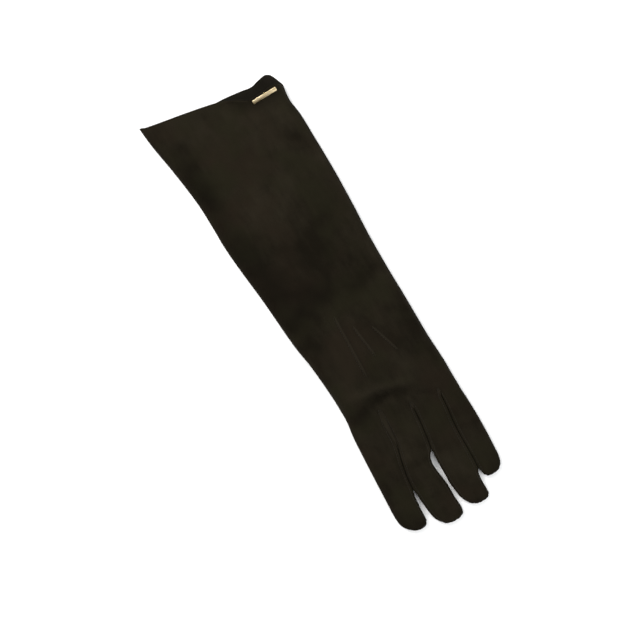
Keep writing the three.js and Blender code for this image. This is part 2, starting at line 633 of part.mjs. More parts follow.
// The plate: a thin bar with rounded corners, lying on the slope of the raised rim
function metalPlate(material) {
  const { length, width, thickness, corner, x, inland } = PLATE;
  const outline = new THREE.Shape();
  const halfLength = length / 2;
  const halfWidth = width / 2;
  outline.moveTo(-halfLength + corner, -halfWidth);
  outline.lineTo(halfLength - corner, -halfWidth);
  outline.absarc(halfLength - corner, -halfWidth + corner, corner, -Math.PI / 2, 0);
  outline.absarc(halfLength - corner, halfWidth - corner, corner, 0, Math.PI / 2);
  outline.absarc(-halfLength + corner, halfWidth - corner, corner, Math.PI / 2, Math.PI);
  outline.absarc(-halfLength + corner, -halfWidth + corner, corner, Math.PI, 1.5 * Math.PI);
  const geometry = new THREE.ExtrudeGeometry(outline,
    { depth: thickness, bevelEnabled: false, curveSegments: 4 });
  const mesh = new THREE.Mesh(geometry, material);
  mesh.name = 'metal_plate';
  const y = smoothAt(RIM_BACK, 'x', 'y', x) + inland;
  const step = 0.5;
  const slope = (backAt(x, y + step) - backAt(x, y - step)) / (2 * step);
  const tilt = Math.atan(slope);
  const lift = SEAM_GAP + PLATE_SAG;
  mesh.rotation.x = tilt;
  mesh.position.set(x, y - Math.sin(tilt) * lift, backAt(x, y) + Math.cos(tilt) * lift);
  return mesh;
}

const suede = new THREE.MeshStandardMaterial({ color: LEATHER_COLOUR, roughness: 0.95, metalness: 0 });
const suedeSide = new THREE.MeshStandardMaterial({ color: LEATHER_EDGE_COLOUR, roughness: 0.95, metalness: 0 });
const metal = new THREE.MeshStandardMaterial({ color: METAL_COLOUR, roughness: 0.25, metalness: 1 });

const glove = new THREE.Group();
const hole = thumbHole();
glove.add(meshFromSolid('trank', trank(hole), suede));
glove.add(meshFromSolid('fourchette_index_middle', fourchette(0), suedeSide));
glove.add(meshFromSolid('fourchette_middle_ring', fourchette(1), suedeSide));
glove.add(meshFromSolid('fourchette_ring_little', fourchette(2), suedeSide));
glove.add(meshFromSolid('thumb', thumbPouch().subtract(hole), suede));
glove.add(metalPlate(metal));

export default glove;
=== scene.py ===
"""A long suede dress glove for the left hand, lying flat with the back of the hand up.

The frame has +Y from the cuff to the fingertips, +X towards the thumb side and +Z up. Lengths below are real
sizes in millimetres, and become metres when a mesh is made.
"""
import math

import bmesh
import bpy
import numpy as np
from mathutils import Matrix, Vector, noise


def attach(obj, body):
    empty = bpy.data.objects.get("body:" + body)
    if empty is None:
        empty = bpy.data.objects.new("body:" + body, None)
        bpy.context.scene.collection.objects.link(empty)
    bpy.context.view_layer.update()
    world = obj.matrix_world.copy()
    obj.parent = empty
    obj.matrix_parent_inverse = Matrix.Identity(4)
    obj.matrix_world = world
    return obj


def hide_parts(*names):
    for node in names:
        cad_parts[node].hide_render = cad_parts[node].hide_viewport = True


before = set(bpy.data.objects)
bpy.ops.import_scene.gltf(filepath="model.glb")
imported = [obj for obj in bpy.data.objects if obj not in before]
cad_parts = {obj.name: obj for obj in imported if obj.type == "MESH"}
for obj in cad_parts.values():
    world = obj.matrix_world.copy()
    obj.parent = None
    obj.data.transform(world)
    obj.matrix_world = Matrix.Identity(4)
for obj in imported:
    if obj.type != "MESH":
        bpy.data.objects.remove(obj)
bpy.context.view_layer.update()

MM = 0.001


def table(columns, rows):
    """A table with named columns, one row for each station."""
    return {name: np.array([row[i] for row in rows], float) for i, name in enumerate(columns)}


# Leather
WALL = 1.1
EDGE_ROUND = 6.0
FOLD_HEIGHT = 0.45
CROWN_DROP = 0.09
FINGER_SQUARENESS = 2.8
SEAM_ANGLE = 40.0
ROOT_SEAM_ANGLE = 30.0
PARTING_GAP = 0.9
PARTING_BULGE = 0.5

# The arm's columns of leather: 24 across the back, six to each finger and three to round each side fold
COLUMNS = 24
FINGER_COLUMNS = 6
FOLD_COLUMNS = 3
FINE = 3  # mesh columns for each column of leather
AROUND = 2 * COLUMNS * FINE
ACROSS_FINGER = FINGER_COLUMNS * FINE
ARM_ROWS = 190  # mesh rows along the arm
FINGER_STEP = 1.3  # length of a mesh row along a finger
WALL_STEPS = 16  # mesh columns across a side wall
WELD_REACH = 0.01  # points this near become one
FINE_WELD_REACH = 0.005  # the same in ribs and stitches

RADIAL_EDGE = table(["y", "x"], [
    [-193.9, 56.6], [-177, 55.3], [-152, 51.9], [-121, 48.9], [-98, 48.8], [-80, 49.2], [-60, 48.2],
    [-29, 45.9], [2, 44.5], [18, 43.3], [33.5, 41.3], [65, 39.8], [84, 40.4]])
ULNAR_EDGE = table(["y", "x"], [
    [-165, -56.4], [-157, -54.9], [-150, -54.4], [-138, -55.7], [-121, -55.5], [-91, -55], [-60, -53.4],
    [-29, -51], [2, -49.8], [20, -49.6], [40, -49.1], [60, -48.6], [80, -49], [98, -48.8]])
RIM_PALM = table(["x", "y"], [
    [-56.4, -165], [-54.8, -170], [-52.4, -175.8], [-48.5, -178.3], [-44, -177.9], [-40, -177.2],
    [-36, -176.1], [-32, -176.3], [-28, -177.2], [-12, -179.6], [0, -180.6], [20, -185.1], [52, -192],
    [56.6, -193.9]])
# The back layer's trimmed rim, and the line a little outside it that its rise is measured from
RIM_BACK = table(["x", "y", "outer_y"], [
    [-56.4, -165, -165], [-49.5, -166.9, -168.7], [-27.7, -166.7, -168.9], [-18.3, -172.4, -173.7],
    [-8.2, -177.7, -178.4], [0, -180.4, -180.4], [20, -185, -185], [52, -191.9, -191.9],
    [56.6, -193.9, -193.9]])
# Where the fingers part, and how far beyond that and how wide the side strip is puffed up between them
CROTCHES = table(["x", "y", "puff", "half"], [
    [14, 88.1, 36, 2.0], [-9.8, 95.9, 7.5, 1.3], [-33.2, 98.3, 7.5, 1.3]])
ROOT_LINE = table(["x", "y"], [[-49, 98], [-33.2, 98.3], [-9.8, 95.9], [14, 88.1], [40, 84]])
ROOT_VALLEY_LENGTH = 16.0
ROOT_VALLEY_WIDTH = 3.2
ROOT_VALLEY_BACK = 2.4
ROOT_VALLEY_PALM = 1.3
ROOT_RELAX_REACH = 7.0  # how far from the finger roots the leather is evened out
ROOT_RELAX_ROUNDS = 14
GROUND_HEIGHT = 0.3  # leather lower than this rests on the ground
ARM_HEIGHT = table(["y", "height"], [
    [-195, 12.5], [-100, 12], [-40, 12.6], [20, 14], [75, 14.8], [98, 13.7]])

# The cuff's back layer stands up beside the metal plate
FLARE_FROM = -50.5
FLARE_TO = -27.2
FLARE_FADE = 26.0
FLARE_FADE_ULNAR = 5.5
FLARE_LENGTH = 15.0
FLARE_RISE = 10.0
FLARE_BEYOND = 1.2

# Folds of the back: a ridge or, below zero, a valley along a line
LINE_TABLE = ["x0", "y0", "x1", "y1", "width", "rise"]
FOLDS = table(LINE_TABLE, [
    [35, 86.5, 3, 82.5, 3.8, -1.8],
    [3, 82.5, -12, 89, 3.4, -1.5],
    [34, 68, 24, 70, 9, 1.0],
    [36, -20, 15, -13, 10, -1.2],
    [20, -92, -50, -88, 12, 0.9],
    [24, -60, -20, -30, 14, -0.9],
    [-32, -150, -50, -158, 6, -1.0],
    [10, -165, 40, -172, 12, 0.8]])

# Smaller folds: over the knuckles, across the fingers, at the wrist, along the forearm and at the cuff
SMALL_FOLDS = table(LINE_TABLE, [
    [30, 81.5, 10, 80.5, 5, -0.35],
    [10, 80.5, -9, 85, 4.5, -0.4],
    [13.8, 91, 16.2, 108, 2.6, 0.7],
    [26, 72.5, 5, 75, 4.5, 0.7],
    [5, 75, -17, 81.5, 4, 0.7],
    [-19.9, 94.4, -29.3, 100.6, 2, -0.6],
    [18.5, 140.2, 3.3, 142.4, 2.5, -0.55],
    [16, 133, 5, 134, 4, 0.35],
    [41, 127, 25, 130, 3, -0.35],
    [-7, 141, -26, 143, 2.6, -0.35],
    [-31, 134, -46, 137, 2.4, -0.3],
    [45, 158, 29, 161, 2.2, -0.25],
    [21, 168, 2, 170, 2.2, -0.25],
    [-6, 170, -24, 172, 2.2, -0.2],
    [-42, -8, -18, 0, 6, -0.6],
    [-44, 6, -22, 12, 7, 0.4],
    [40, 18, 22, 24, 6, -0.4],
    [40, -60, 18, -46, 8, 0.5],
    [-50, -70, -28, -60, 9, -0.5],
    [3.4, -102.8, 18.2, -79.1, 6, 0.5],
    [38.7, -162, 38, -112, 7, -0.8],
    [-32.7, -129.7, -44.5, -122.3, 3.2, -0.7],
    [-26, -151, -47, -147.5, 4, 0.7],
    [-6, -160, -12, -128, 8, 0.4]])

# Lines of painted light or, below zero, painted shade
PAINTED_LIGHT_LINES = table(LINE_TABLE, [
    [13.4, 88.5, 16.2, 110.5, 2.6, 0.75],
    [14.6, 107, 13.6, 134, 1.3, 0.35],
    [-10.2, 94, -10.8, 99, 1.8, 0.6],
    [-33.2, 95.5, -33.2, 101, 1.8, 0.6],
    [-33.4, 99, -33.6, 117, 1.3, 0.5],
    [24.5, 71.7, -16.9, 83, 4, 0.25],
    [8, -14, 34, -14, 15, -0.95],
    [8, -46, 30, -40, 13, -0.3],
    [28, 90, 42, 82, 9, -0.7],
    [44, 66, 46, 104, 6, -0.9],
    [43, 150, 46, 172, 5, -0.5],
    [-8, 30, -28, 60, 13, -0.6],
    [-53.5, -140, -51.5, -60, 3, 0.6],
    [-51.5, -60, -48, -8, 3, 0.6],
    [3.0, 11, 5.6, 56, 1.6, -0.28],
    [7.8, 11, 10.6, 56, 2.6, 0.1],
    [-49.5, -166.9, -27.7, -166.7, 1.8, -0.8],
    [-27.7, -166.7, -12, -175.6, 1.6, -0.6],
    [-52, -160, -26, -158, 5, 1.1]])
FOLD_PAINTED_LIGHT = 0.26  # painted light for each millimetre that a fold rises, painted shade where it sinks
SMALL_FOLD_PAINTED_LIGHT = 0.7
DARKEST_LINE = -1.6
LIGHTEST_LINE = 1.0

# Broad areas of painted light or, below zero, painted shade: where it starts and is full across the glove and
# along it, where it fades and is gone, and how much these last lines slant
PAINTED_LIGHT_AREAS = table(["painted_light", "x_start", "x_full", "y_start", "y_full", "y_fade", "y_gone", "slant"], [
    [0.3, -300, -250, -300, -250, -125, -70, 0.25],
    [-0.38, 2, 38, -300, -250, 35, 70, 0],
    [-0.95, 20, 46, -165, -125, -10, 20, 0],
    [-0.4, -48, -25, -90, -50, -10, 20, 0],
    [-0.55, -26, -46, -5, 20, 145, 165, 0]])

# Unevenness of the leather, each kind from a depth of the noise of its own
SWELL_SIZE = 34.0  # the slow unevenness of limp leather
SWELL_RISE = 0.35
SWELL_DEPTH = 3.1
PUCKER_SIZE = 8.0  # the small one
PUCKER_RISE = 0.09
PUCKER_DEPTH = 8.4
PALM_SWELL = 0.35
PALM_DEPTH = 5.7

FINGER_TABLE = ["y_ulnar", "y_radial", "x_ulnar", "x_radial", "under", "back"]
FINGERS = {
    "index": table(FINGER_TABLE, [
        [92, 88.5, 14.7, 41.2, 0, 12.8], [104, 101, 15.9, 42.9, 0, 12.5], [119, 118, 17.2, 44.4, 0, 12.2],
        [135, 135, 21.4, 45.8, 0, 12], [156, 156, 25.4, 47.4, 0, 11.7], [166, 166, 26.7, 48.1, 0, 10.8],
        [174, 174, 27.5, 47.7, 0, 9.6], [179, 179, 27.8, 45.4, 0.2, 8.5], [182.5, 182.5, 28.8, 42, 0.6, 7.3],
        [184.8, 184.8, 30.8, 38, 1.4, 5.8], [185.7, 185.7, 33.8, 33.8, 3.5, 3.5]]),
    "middle": table(FINGER_TABLE, [
        [99.5, 92, -9.3, 14, 0, 12.6], [107, 103, -8.7, 15.1, 0, 12.3], [119.5, 119.5, -7, 16.4, 0, 12.1],
        [135, 135, -4, 20.6, 0, 12], [143, 143, 0, 22.6, 0, 11.9], [150, 150, 1, 23.6, 0, 11.7],
        [164, 164, -0.2, 24, 0, 10.9], [178, 178, -0.1, 23.2, 0, 9.6], [185, 185, -0.4, 21.7, 0, 8.6],
        [189.5, 189.5, 0, 18.7, 0.4, 7.4], [192.3, 192.3, 1.9, 15.5, 0.8, 6.4],
        [193.6, 193.6, 4.6, 11.6, 1.6, 5.3], [193.9, 193.9, 8, 8, 3.5, 3.5]]),
    "ring": table(FINGER_TABLE, [
        [101.5, 99.5, -32.8, -10.1, 0, 12.3], [107, 105, -32.5, -9.5, 0, 11.9],
        [119.5, 119.5, -31, -7.8, 0, 11.6], [127, 127, -29.6, -6.7, 0, 11.5], [135, 135, -29, -5, 0, 11.4],
        [143, 143, -28.6, -3.5, 0, 11.2], [155, 155, -28, -2.9, 0, 10.8], [166, 166, -27.1, -2.4, 0, 10.1],
        [173, 173, -25.4, -2.8, 0, 9.4], [180, 180, -24.6, -3.6, 0, 8.7], [186, 186, -24.5, -6, 0.2, 7.8],
        [189.6, 189.6, -23.6, -9.3, 0.6, 6.9], [191.6, 191.6, -21.9, -12.6, 1.4, 5.7],
        [192.4, 192.4, -17.4, -17.4, 3.5, 3.5]]),
    "little": table(FINGER_TABLE, [
        [101, 102, -48.7, -33.5, 0, 11.8], [110, 111, -48.3, -32.9, 0, 11.3],
        [119.5, 119.5, -48.5, -31.8, 0, 11], [135, 135, -48.3, -29.7, 0, 10.7],
        [150, 150, -47.5, -29, 0, 10.3], [161, 161, -46.5, -28.5, 0, 9.5], [168, 168, -45.9, -28, 0, 8.7],
        [172.8, 172.8, -44.6, -28.1, 0.2, 7.7], [176.1, 176.1, -42.5, -29.4, 0.8, 6.6],
        [177.9, 177.9, -40, -31.3, 1.5, 5.5], [178.6, 178.6, -35.8, -35.8, 3.4, 3.4]]),
}
FINGER_NAMES = list(FINGERS)
WINDOW_END = 2  # table rows before the tip where the side wall has tapered away
WINDOW_TAPER = 1.5  # table rows over which it tapers
WALL_SHORT = 0.25  # table rows by which the side wall itself ends sooner
SQUASH = 0.1  # how far two fingers that lie against each other are pressed together
TOUCHING_GAP = 1.3  # fingers nearer than this touch, past the next they are apart
PARTED_GAP = 2.4
WALL_FULLNESS = 0.2  # how soon below the seam a side wall reaches its neighbour, and where it is puffed
PUFF_FULLNESS = 0.07
WALL_DRAPE = 0.85  # share of the back's relief that a side wall follows at its seam
PUFF_RISE = 0.75
PUFF_SINK = 0.8
PUFF_STEP = 0.5
PUFF_START = 0.4  # beyond the parting
PUFF_SWELL = 5.0  # length over which a puff swells up, or this share of it when it is short
PUFF_SWELL_MOST = 0.5
PUFF_FADE = 0.45  # share of its length from which it sinks
PUFF_WALL_FADE = 0.6  # and from which the walls below it meet less closely

# The thumb's pouch, folded flat under the palm
THUMB_ROOT = np.array([30.0, -4.0])
THUMB_TIP = np.array([16.5, 69.0])
THUMB = table(["along", "half", "under", "back"], [
    [0, 0, 1.6, 1.6], [1, 5, 0.4, 2.8], [4, 9.6, 0, 3.1], [11, 12, 0, 3.1], [22, 12.6, 0, 3.1],
    [36, 12, 0, 3.1], [50, 11.2, 0, 3.1], [62, 10.2, 0, 3.1], [69, 8.2, 0, 3.1], [72.8, 4.6, 0.4, 2.8],
    [74.2, 0, 1.6, 1.6]])
THUMB_WALL = 1.05
THUMB_SQUARENESS = 3.2
THUMB_ROWS = 71
THUMB_COLUMNS = 56
THUMB_SEAM = (0.6, 9.95, 90)  # the table rows where its seam starts and ends, and its points
HOLE_ALONG = 20.0
HOLE_HALF_LENGTH = 13.0
HOLE_HALF_WIDTH = 7.5
HOLE_FACING = 0.4  # how much a face looks up or down where the hole opens in it
HOLE_EDGE = (0.6, 1.3)  # points that are moved onto the oval, as shares of its size
HUMP_HALF = 12.0  # the palm's hump over the thumb
HUMP_HEIGHT = 3.4
HUMP_MARGIN = 4.0
HUMP_SLOPE = 10.0
HUMP_THROUGH_BACK = 0.5  # share of it that shows in the back

# The three points, stitched tucks in the back of the hand
POINTS = table(["x0", "y0", "x1", "y1", "size"], [
    [5.2, 8.7, 8.6, 64, 1], [-3, 23.5, -6, 53.6, 0.8], [-15.5, 31.1, -23.3, 57.8, 0.68]])
POINT_WIDTH = 2.6
POINT_RISE = 1.0
POINT_SINK = 0.5
POINT_STEP = 0.6
POINT_END = 0.35  # share of the full size at an end, and how fast it grows from there
POINT_RATE = 5.0
POINT_CLOSE = 0.02  # share of the length in which an end closes
POINT_SHARPNESS = 1.3
FLANK_ASIDE = 0.36  # place of the stitches beside the crest, in widths and rises
FLANK_LIFT = 0.62
FLANK_OUT = 0.6  # how much the flank looks aside and up
FLANK_UP = 0.8

# Seams: a raised line with a stitch at each pitch
STITCH_PITCH = 2.2
STITCH_LENGTH = 1.35
STITCH_RADIUS = 0.17
STITCH_LEAN = 24.0  # degrees across the seam
STITCH_SHAPE = table(["along", "thickness", "drop"], [
    [-0.5, 0, 0.2], [-0.36, 0.75, 0.06], [0, 1, 0], [0.36, 0.75, 0.06], [0.5, 0, 0.2]])
WELT_PINCH = 0.07
WELT_END = 1.2  # length over which a rib thins out
WELTS = {"finger": (0.46, 0.12), "tip": (0.34, 0.1), "side": (0.36, 0.1)}  # radius, and how deep it lies
WELT_SIDES = 8
STITCH_SIDES = 6
RIDGE_SIDES = 16

PLATE_BEVEL = 0.14
PLATE_BEVEL_STEPS = 3
PLATE_NARROWING = 0.78
PLATE_TO_RIM = 0.6
PLATE_TOP = 0.3  # how much the outer side's faces look up, at least
PLATE_FLAT = 2.0  # degrees up to which facets are joined
PLATE_RIM = 50.0  # degrees from which edges are softened
PLATE_SHARP = 35.0  # degrees from which the shading breaks


def smoothstep(low, high, at):
    """Goes smoothly from 0 at low to 1 at high, which may be the smaller one."""
    t = np.clip((at - low) / (high - low), 0, 1)
    return t * t * (3 - 2 * t)


def hermite(a, b, slope_a, slope_b, t):
    """The smooth curve from a to b with a slope at each end."""
    t2 = t * t
    t3 = t2 * t
    return (a * (2 * t3 - 3 * t2 + 1) + slope_a * (t3 - 2 * t2 + t)
            + b * (3 * t2 - 2 * t3) + slope_b * (t3 - t2))


def slopes_of(keys, values):
    """Slope of the smooth curve at each row of a table."""
    slopes = np.empty_like(values)
    slopes[1:-1] = (values[2:] - values[:-2]) / (keys[2:] - keys[:-2])
    slopes[0] = (values[1] - values[0]) / (keys[1] - keys[0])
    slopes[-1] = (values[-1] - values[-2]) / (keys[-1] - keys[-2])
    return slopes


def curve_through(keys, values, at):
    """Values at some places on the smooth curve through a table's rows."""
    at = np.clip(np.asarray(at, float), keys[0], keys[-1])
    i = np.clip(np.searchsorted(keys, at, side="right") - 1, 0, len(keys) - 2)
    slopes = slopes_of(keys, values)
    span = keys[i + 1] - keys[i]
    return hermite(values[i], values[i + 1], slopes[i] * span, slopes[i + 1] * span, (at - keys[i]) / span)


def x_on(edge, y):
    return curve_through(edge["y"], edge["x"], y)


def y_on(line, x, column="y"):
    return curve_through(line["x"], line[column], x)


def row_at(rows, column, at):
    """A column's value at a row number that may lie between two rows."""
    values = rows[column]
    return curve_through(np.arange(len(values), dtype=float), values, at)


def travelled_along(line):
    """Distance from the start of a line at each of its points."""
    return np.concatenate([[0], np.cumsum(np.linalg.norm(np.diff(line, axis=0), axis=1))])


def lumps(x, y, size, depth):
    """Smooth noise between about -1 and 1 with lumps of a size."""
    places = zip(np.ravel(x), np.ravel(y))
    heights = np.array([noise.noise((a / size, b / size, depth)) for a, b in places])
    return heights.reshape(np.shape(x)) * 2


# Shape of the arm

thumb_axis = (THUMB_TIP - THUMB_ROOT) / np.linalg.norm(THUMB_TIP - THUMB_ROOT)
thumb_across = np.array([thumb_axis[1], -thumb_axis[0]])


def thumb_place(x, y):
    """Distances along and across the thumb from its root."""
    dx = x - THUMB_ROOT[0]
    dy = y - THUMB_ROOT[1]
    return dx * thumb_axis[0] + dy * thumb_axis[1], dx * thumb_across[0] + dy * thumb_across[1]


def palm_lift(x, y):
    """How far the palm is lifted over the folded thumb."""
    along, across = thumb_place(x, y)
    beyond = np.maximum(np.maximum(HUMP_HALF - along, along - (THUMB["along"][-1] - HUMP_HALF)), 0)
    outside = np.hypot(beyond, across) - HUMP_HALF
    return HUMP_HEIGHT * (1 - smoothstep(HUMP_MARGIN, HUMP_MARGIN + HUMP_SLOPE, outside))


def flare_rise(x, y):
    """How far the cuff's back layer stands up."""
    reach = 1 - (y - y_on(RIM_BACK, x, "outer_y")) / FLARE_LENGTH
    ulnar = smoothstep(FLARE_FROM - FLARE_FADE_ULNAR, FLARE_FROM, x)
    radial = 1 - smoothstep(FLARE_TO, FLARE_TO + FLARE_FADE, x)
    return FLARE_RISE * np.minimum(ulnar, radial) * np.clip(reach, 0, FLARE_BEYOND) ** 2


def fold_rise(folds, x, y):
    """Sum of the ridges of a table, each highest along its line."""
    total = np.zeros_like(x)
    for x0, y0, x1, y1, width, rise in zip(*folds.values()):
        dx, dy = x1 - x0, y1 - y0
        t = np.clip(((x - x0) * dx + (y - y0) * dy) / (dx * dx + dy * dy), 0, 1)
        total += rise * np.exp(-(np.hypot(x - x0 - t * dx, y - y0 - t * dy) / width) ** 2)
    return total


def root_valley(x, y, depth):
    """Valleys in the leather that lead to where the fingers part."""
    total = np.zeros_like(x)
    for cx, cy in zip(CROTCHES["x"], CROTCHES["y"]):
        near = smoothstep(cy - ROOT_VALLEY_LENGTH, cy, y)
        total += depth * near * np.exp(-((x - cx) / ROOT_VALLEY_WIDTH) ** 2)
    return total


def back_height(x, y, aside):
    crown = curve_through(ARM_HEIGHT["y"], ARM_HEIGHT["height"], y) * (1 - CROWN_DROP * aside * aside)
    return (crown + HUMP_THROUGH_BACK * palm_lift(x, y) + flare_rise(x, y) + fold_rise(FOLDS, x, y)
            - root_valley(x, y, ROOT_VALLEY_BACK))


def back_at(x, y):
    """Height of the back well inside the arm's edges."""
    radial, ulnar = x_on(RADIAL_EDGE, y), x_on(ULNAR_EDGE, y)
    return back_height(x, y, (2 * x - radial - ulnar) / (radial - ulnar))


def relief(x, y):
    """The small folds and the unevenness that lie over the back's main shape."""
    return (fold_rise(SMALL_FOLDS, x, y) + SWELL_RISE * lumps(x, y, SWELL_SIZE, SWELL_DEPTH)
            + PUCKER_RISE * lumps(x, y, PUCKER_SIZE, PUCKER_DEPTH))


def draped_back(x, y):
    return back_at(x, y) + relief(x, y)


def palm_sag(x, y):
    """How far the palm side sags inward here and there."""
    return PALM_SWELL * np.maximum(lumps(x, y, SWELL_SIZE, PALM_DEPTH), 0)


# Painted light and shade over broad areas
def area_painted_light(x, y):
    total = np.zeros_like(x)
    for painted_light, x_start, x_full, y_start, y_full, y_fade, y_gone, slant in zip(*PAINTED_LIGHT_AREAS.values()):
        along = smoothstep(y_start, y_full, y) * smoothstep(y_gone, y_fade, y - slant * x)
        total += painted_light * smoothstep(x_start, x_full, x) * along
    return total


def painted_light_at(x, y):
    """How much light, or below zero shade, is painted on crests, in folds, along lines and over broad areas.
    """
    folds = FOLD_PAINTED_LIGHT * fold_rise(FOLDS, x, y) + SMALL_FOLD_PAINTED_LIGHT * fold_rise(SMALL_FOLDS, x, y)
    lines = np.clip(folds + fold_rise(PAINTED_LIGHT_LINES, x, y), DARKEST_LINE, LIGHTEST_LINE)
    return lines + area_painted_light(x, y)


ROOT_RADIAL = RADIAL_EDGE["x"][-1]
ROOT_ULNAR = ULNAR_EDGE["x"][-1]
finger_shares = (ROOT_RADIAL - CROTCHES["x"]) / (ROOT_RADIAL - ROOT_ULNAR)


def arm_column(column, radial, ulnar):
    """Place of a column between the arm's edges, and how far up or down from the side fold it lies."""
    width = radial - ulnar
    aside = np.minimum(column, COLUMNS - column)
    turn = np.clip(aside / FOLD_COLUMNS, 0, 1) * (math.pi / 2)
    inward = EDGE_ROUND * (1 - np.cos(turn))
    knots = np.array([FOLD_COLUMNS, FINGER_COLUMNS, 2 * FINGER_COLUMNS, 3 * FINGER_COLUMNS,
                      COLUMNS - FOLD_COLUMNS], float)
    partings = [radial - share * width for share in finger_shares]
    places = [radial - EDGE_ROUND] + partings + [ulnar + EDGE_ROUND]
    x = np.where(column < COLUMNS / 2, radial - inward, ulnar + inward)
    for k in range(4):
        t = (column - knots[k]) / (knots[k + 1] - knots[k])
        between = (t >= 0) & (t <= 1)
        x = np.where(between, places[k] * (1 - t) + places[k + 1] * t, x)
    return x, np.sin(turn)


def arm_point(around, along):
    """The arm's outer face. around: from the thumb side over the back, and past COLUMNS under the palm."""
    around = np.mod(around, 2 * COLUMNS)
    on_back = around <= COLUMNS
    column = np.where(on_back, around, 2 * COLUMNS - around)
    radial, ulnar = (x_on(edge, edge["y"][0] * (1 - along) + edge["y"][-1] * along)
                     for edge in (RADIAL_EDGE, ULNAR_EDGE))
    x, lift = arm_column(column, radial, ulnar)
    at_rim = arm_column(column, RADIAL_EDGE["x"][0], ULNAR_EDGE["x"][0])[0]
    at_root = arm_column(column, ROOT_RADIAL, ROOT_ULNAR)[0]
    rim = np.where(on_back, y_on(RIM_BACK, at_rim), y_on(RIM_PALM, at_rim))
    y = rim * (1 - along) + y_on(ROOT_LINE, at_root) * along
    aside = (2 * x - radial - ulnar) / (radial - ulnar)
    under = palm_lift(x, y) + root_valley(x, y, ROOT_VALLEY_PALM)
    back = back_height(x, y, aside)
    fold = under + (back - under) * FOLD_HEIGHT
    z = fold + (np.where(on_back, back, under) - fold) * lift
    return np.stack([x, y, z], axis=-1)


# Shape of a finger

def last_row(rows):
    return len(rows["under"]) - 1


def section(angle, squareness):
    """Place across and up, from -1 to 1, on a rounded square. angle: 0 at a side, 90 on top."""
    turn = np.radians(angle)
    return [np.sign(place) * np.abs(place) ** (2 / squareness) for place in (np.cos(turn), np.sin(turn))]


def height_at(rows, row, upward):
    """Height of a place on a section, from -1 at its underside to 1 on its back."""
    under = np.maximum(row_at(rows, "under", row), 0)
    back = row_at(rows, "back", row)
    return (under + back) / 2 + (back - under) / 2 * upward


def finger_point(rows, angle, row):
    """A finger's outer face. angle: 0 at the thumb side, 90 on the back, 180 at the other side."""
    across, upward = section(angle, FINGER_SQUARENESS)
    x_radial, x_ulnar, y_radial, y_ulnar = (
        row_at(rows, column, row) for column in ("x_radial", "x_ulnar", "y_radial", "y_ulnar"))
    return np.stack([
        (x_radial + x_ulnar) / 2 + (x_radial - x_ulnar) / 2 * across,
        y_ulnar + (y_radial - y_ulnar) * (1 + across) / 2,
        height_at(rows, row, upward)], axis=-1)


def seam_angle(rows, row):
    """Half of the opening that the side wall fills, as an angle above and below the middle of the side."""
    end = last_row(rows) - WINDOW_END
    opening = ROOT_SEAM_ANGLE + (SEAM_ANGLE - ROOT_SEAM_ANGLE) * smoothstep(0, 1, row)
    return opening * np.clip((end - row) / WINDOW_TAPER, 0, 1)


def finger_rows(rows, last):
    """Row numbers at even steps along a finger, from its root to a last row."""
    fine = np.linspace(0, last, 400)
    line = finger_point(rows, np.full_like(fine, 90.0), fine)
    travelled = travelled_along(line)
    count = max(int(travelled[-1] / FINGER_STEP), 4)
    return np.interp(np.linspace(0, travelled[-1], count + 1), travelled, fine)


# Meshes

class Patchwork:
    """Grids of points that share their seams, gathered into one mesh."""

    def __init__(self):
        self.points = []
        self.faces = []
        self.count = 0

    def grid(self, points, flip=False, closed=False):
        """Adds a grid with its rows along the first axis and returns its point numbers."""
        rows, columns = points.shape[:2]
        ids = self.count + np.arange(rows * columns).reshape(rows, columns)
        self.points.append(points.reshape(-1, 3))
        self.count += rows * columns
        across = np.concatenate([ids, ids[:, :1]], axis=1) if closed else ids
        a, b = across[:-1, :-1], across[1:, :-1]
        c, d = across[1:, 1:], across[:-1, 1:]
        order = (d, c, b, a) if flip else (a, b, c, d)
        self.faces.append(np.stack(order, axis=-1).reshape(-1, 4))
        return ids

    def weld(self, reach=WELD_REACH):
        """Joins coincident points and returns the points, the faces and the new number of each old point."""
        points = np.concatenate(self.points)
        keys = np.round(points / reach).astype(np.int64)
        _, first, number = np.unique(keys, axis=0, return_index=True, return_inverse=True)
        number = number.reshape(-1)
        return points[first], clean_faces(number[np.concatenate(self.faces)]), number


def clean_faces(faces):
    """Faces as lists without repeated corners or vanished faces."""
    kept = []
    for face in faces.tolist():
        ring = [v for i, v in enumerate(face) if v != face[i - 1]]
        if len(ring) >= 3 and len(set(ring)) == len(ring):
            kept.append(ring)
    return kept


def edge_counts(faces):
    """How many faces share each edge."""
    seen = {}
    for ring in faces:
        for i, v in enumerate(ring):
            key = (min(v, ring[i - 1]), max(v, ring[i - 1]))
            seen[key] = seen.get(key, 0) + 1
    return seen


def rim_points(faces):
    """Numbers of the points on open edges."""
    return np.array(sorted({v for key, n in edge_counts(faces).items() if n == 1 for v in key}))


def vertex_normals(points, faces):
    triangles = np.array([(ring[0], ring[i], ring[i + 1]) for ring in faces for i in range(1, len(ring) - 1)])
    a, b, c = (points[triangles[:, k]] for k in range(3))
    across = np.cross(b - a, c - a)
    total = np.zeros_like(points)
    for k in range(3):
        np.add.at(total, triangles[:, k], across)
    return total / np.maximum(np.linalg.norm(total, axis=1), 1e-12)[:, None]


def drape(points, faces):
    """Adds the relief to upward faces, and lets faces below sag inward here and there."""
    up = vertex_normals(points, faces)[:, 2]
    x, y = points[:, 0], points[:, 1]
    points[:, 2] += relief(x, y) * np.clip(up, 0, 1) + palm_sag(x, y) * np.clip(-up, 0, 1)
    return points


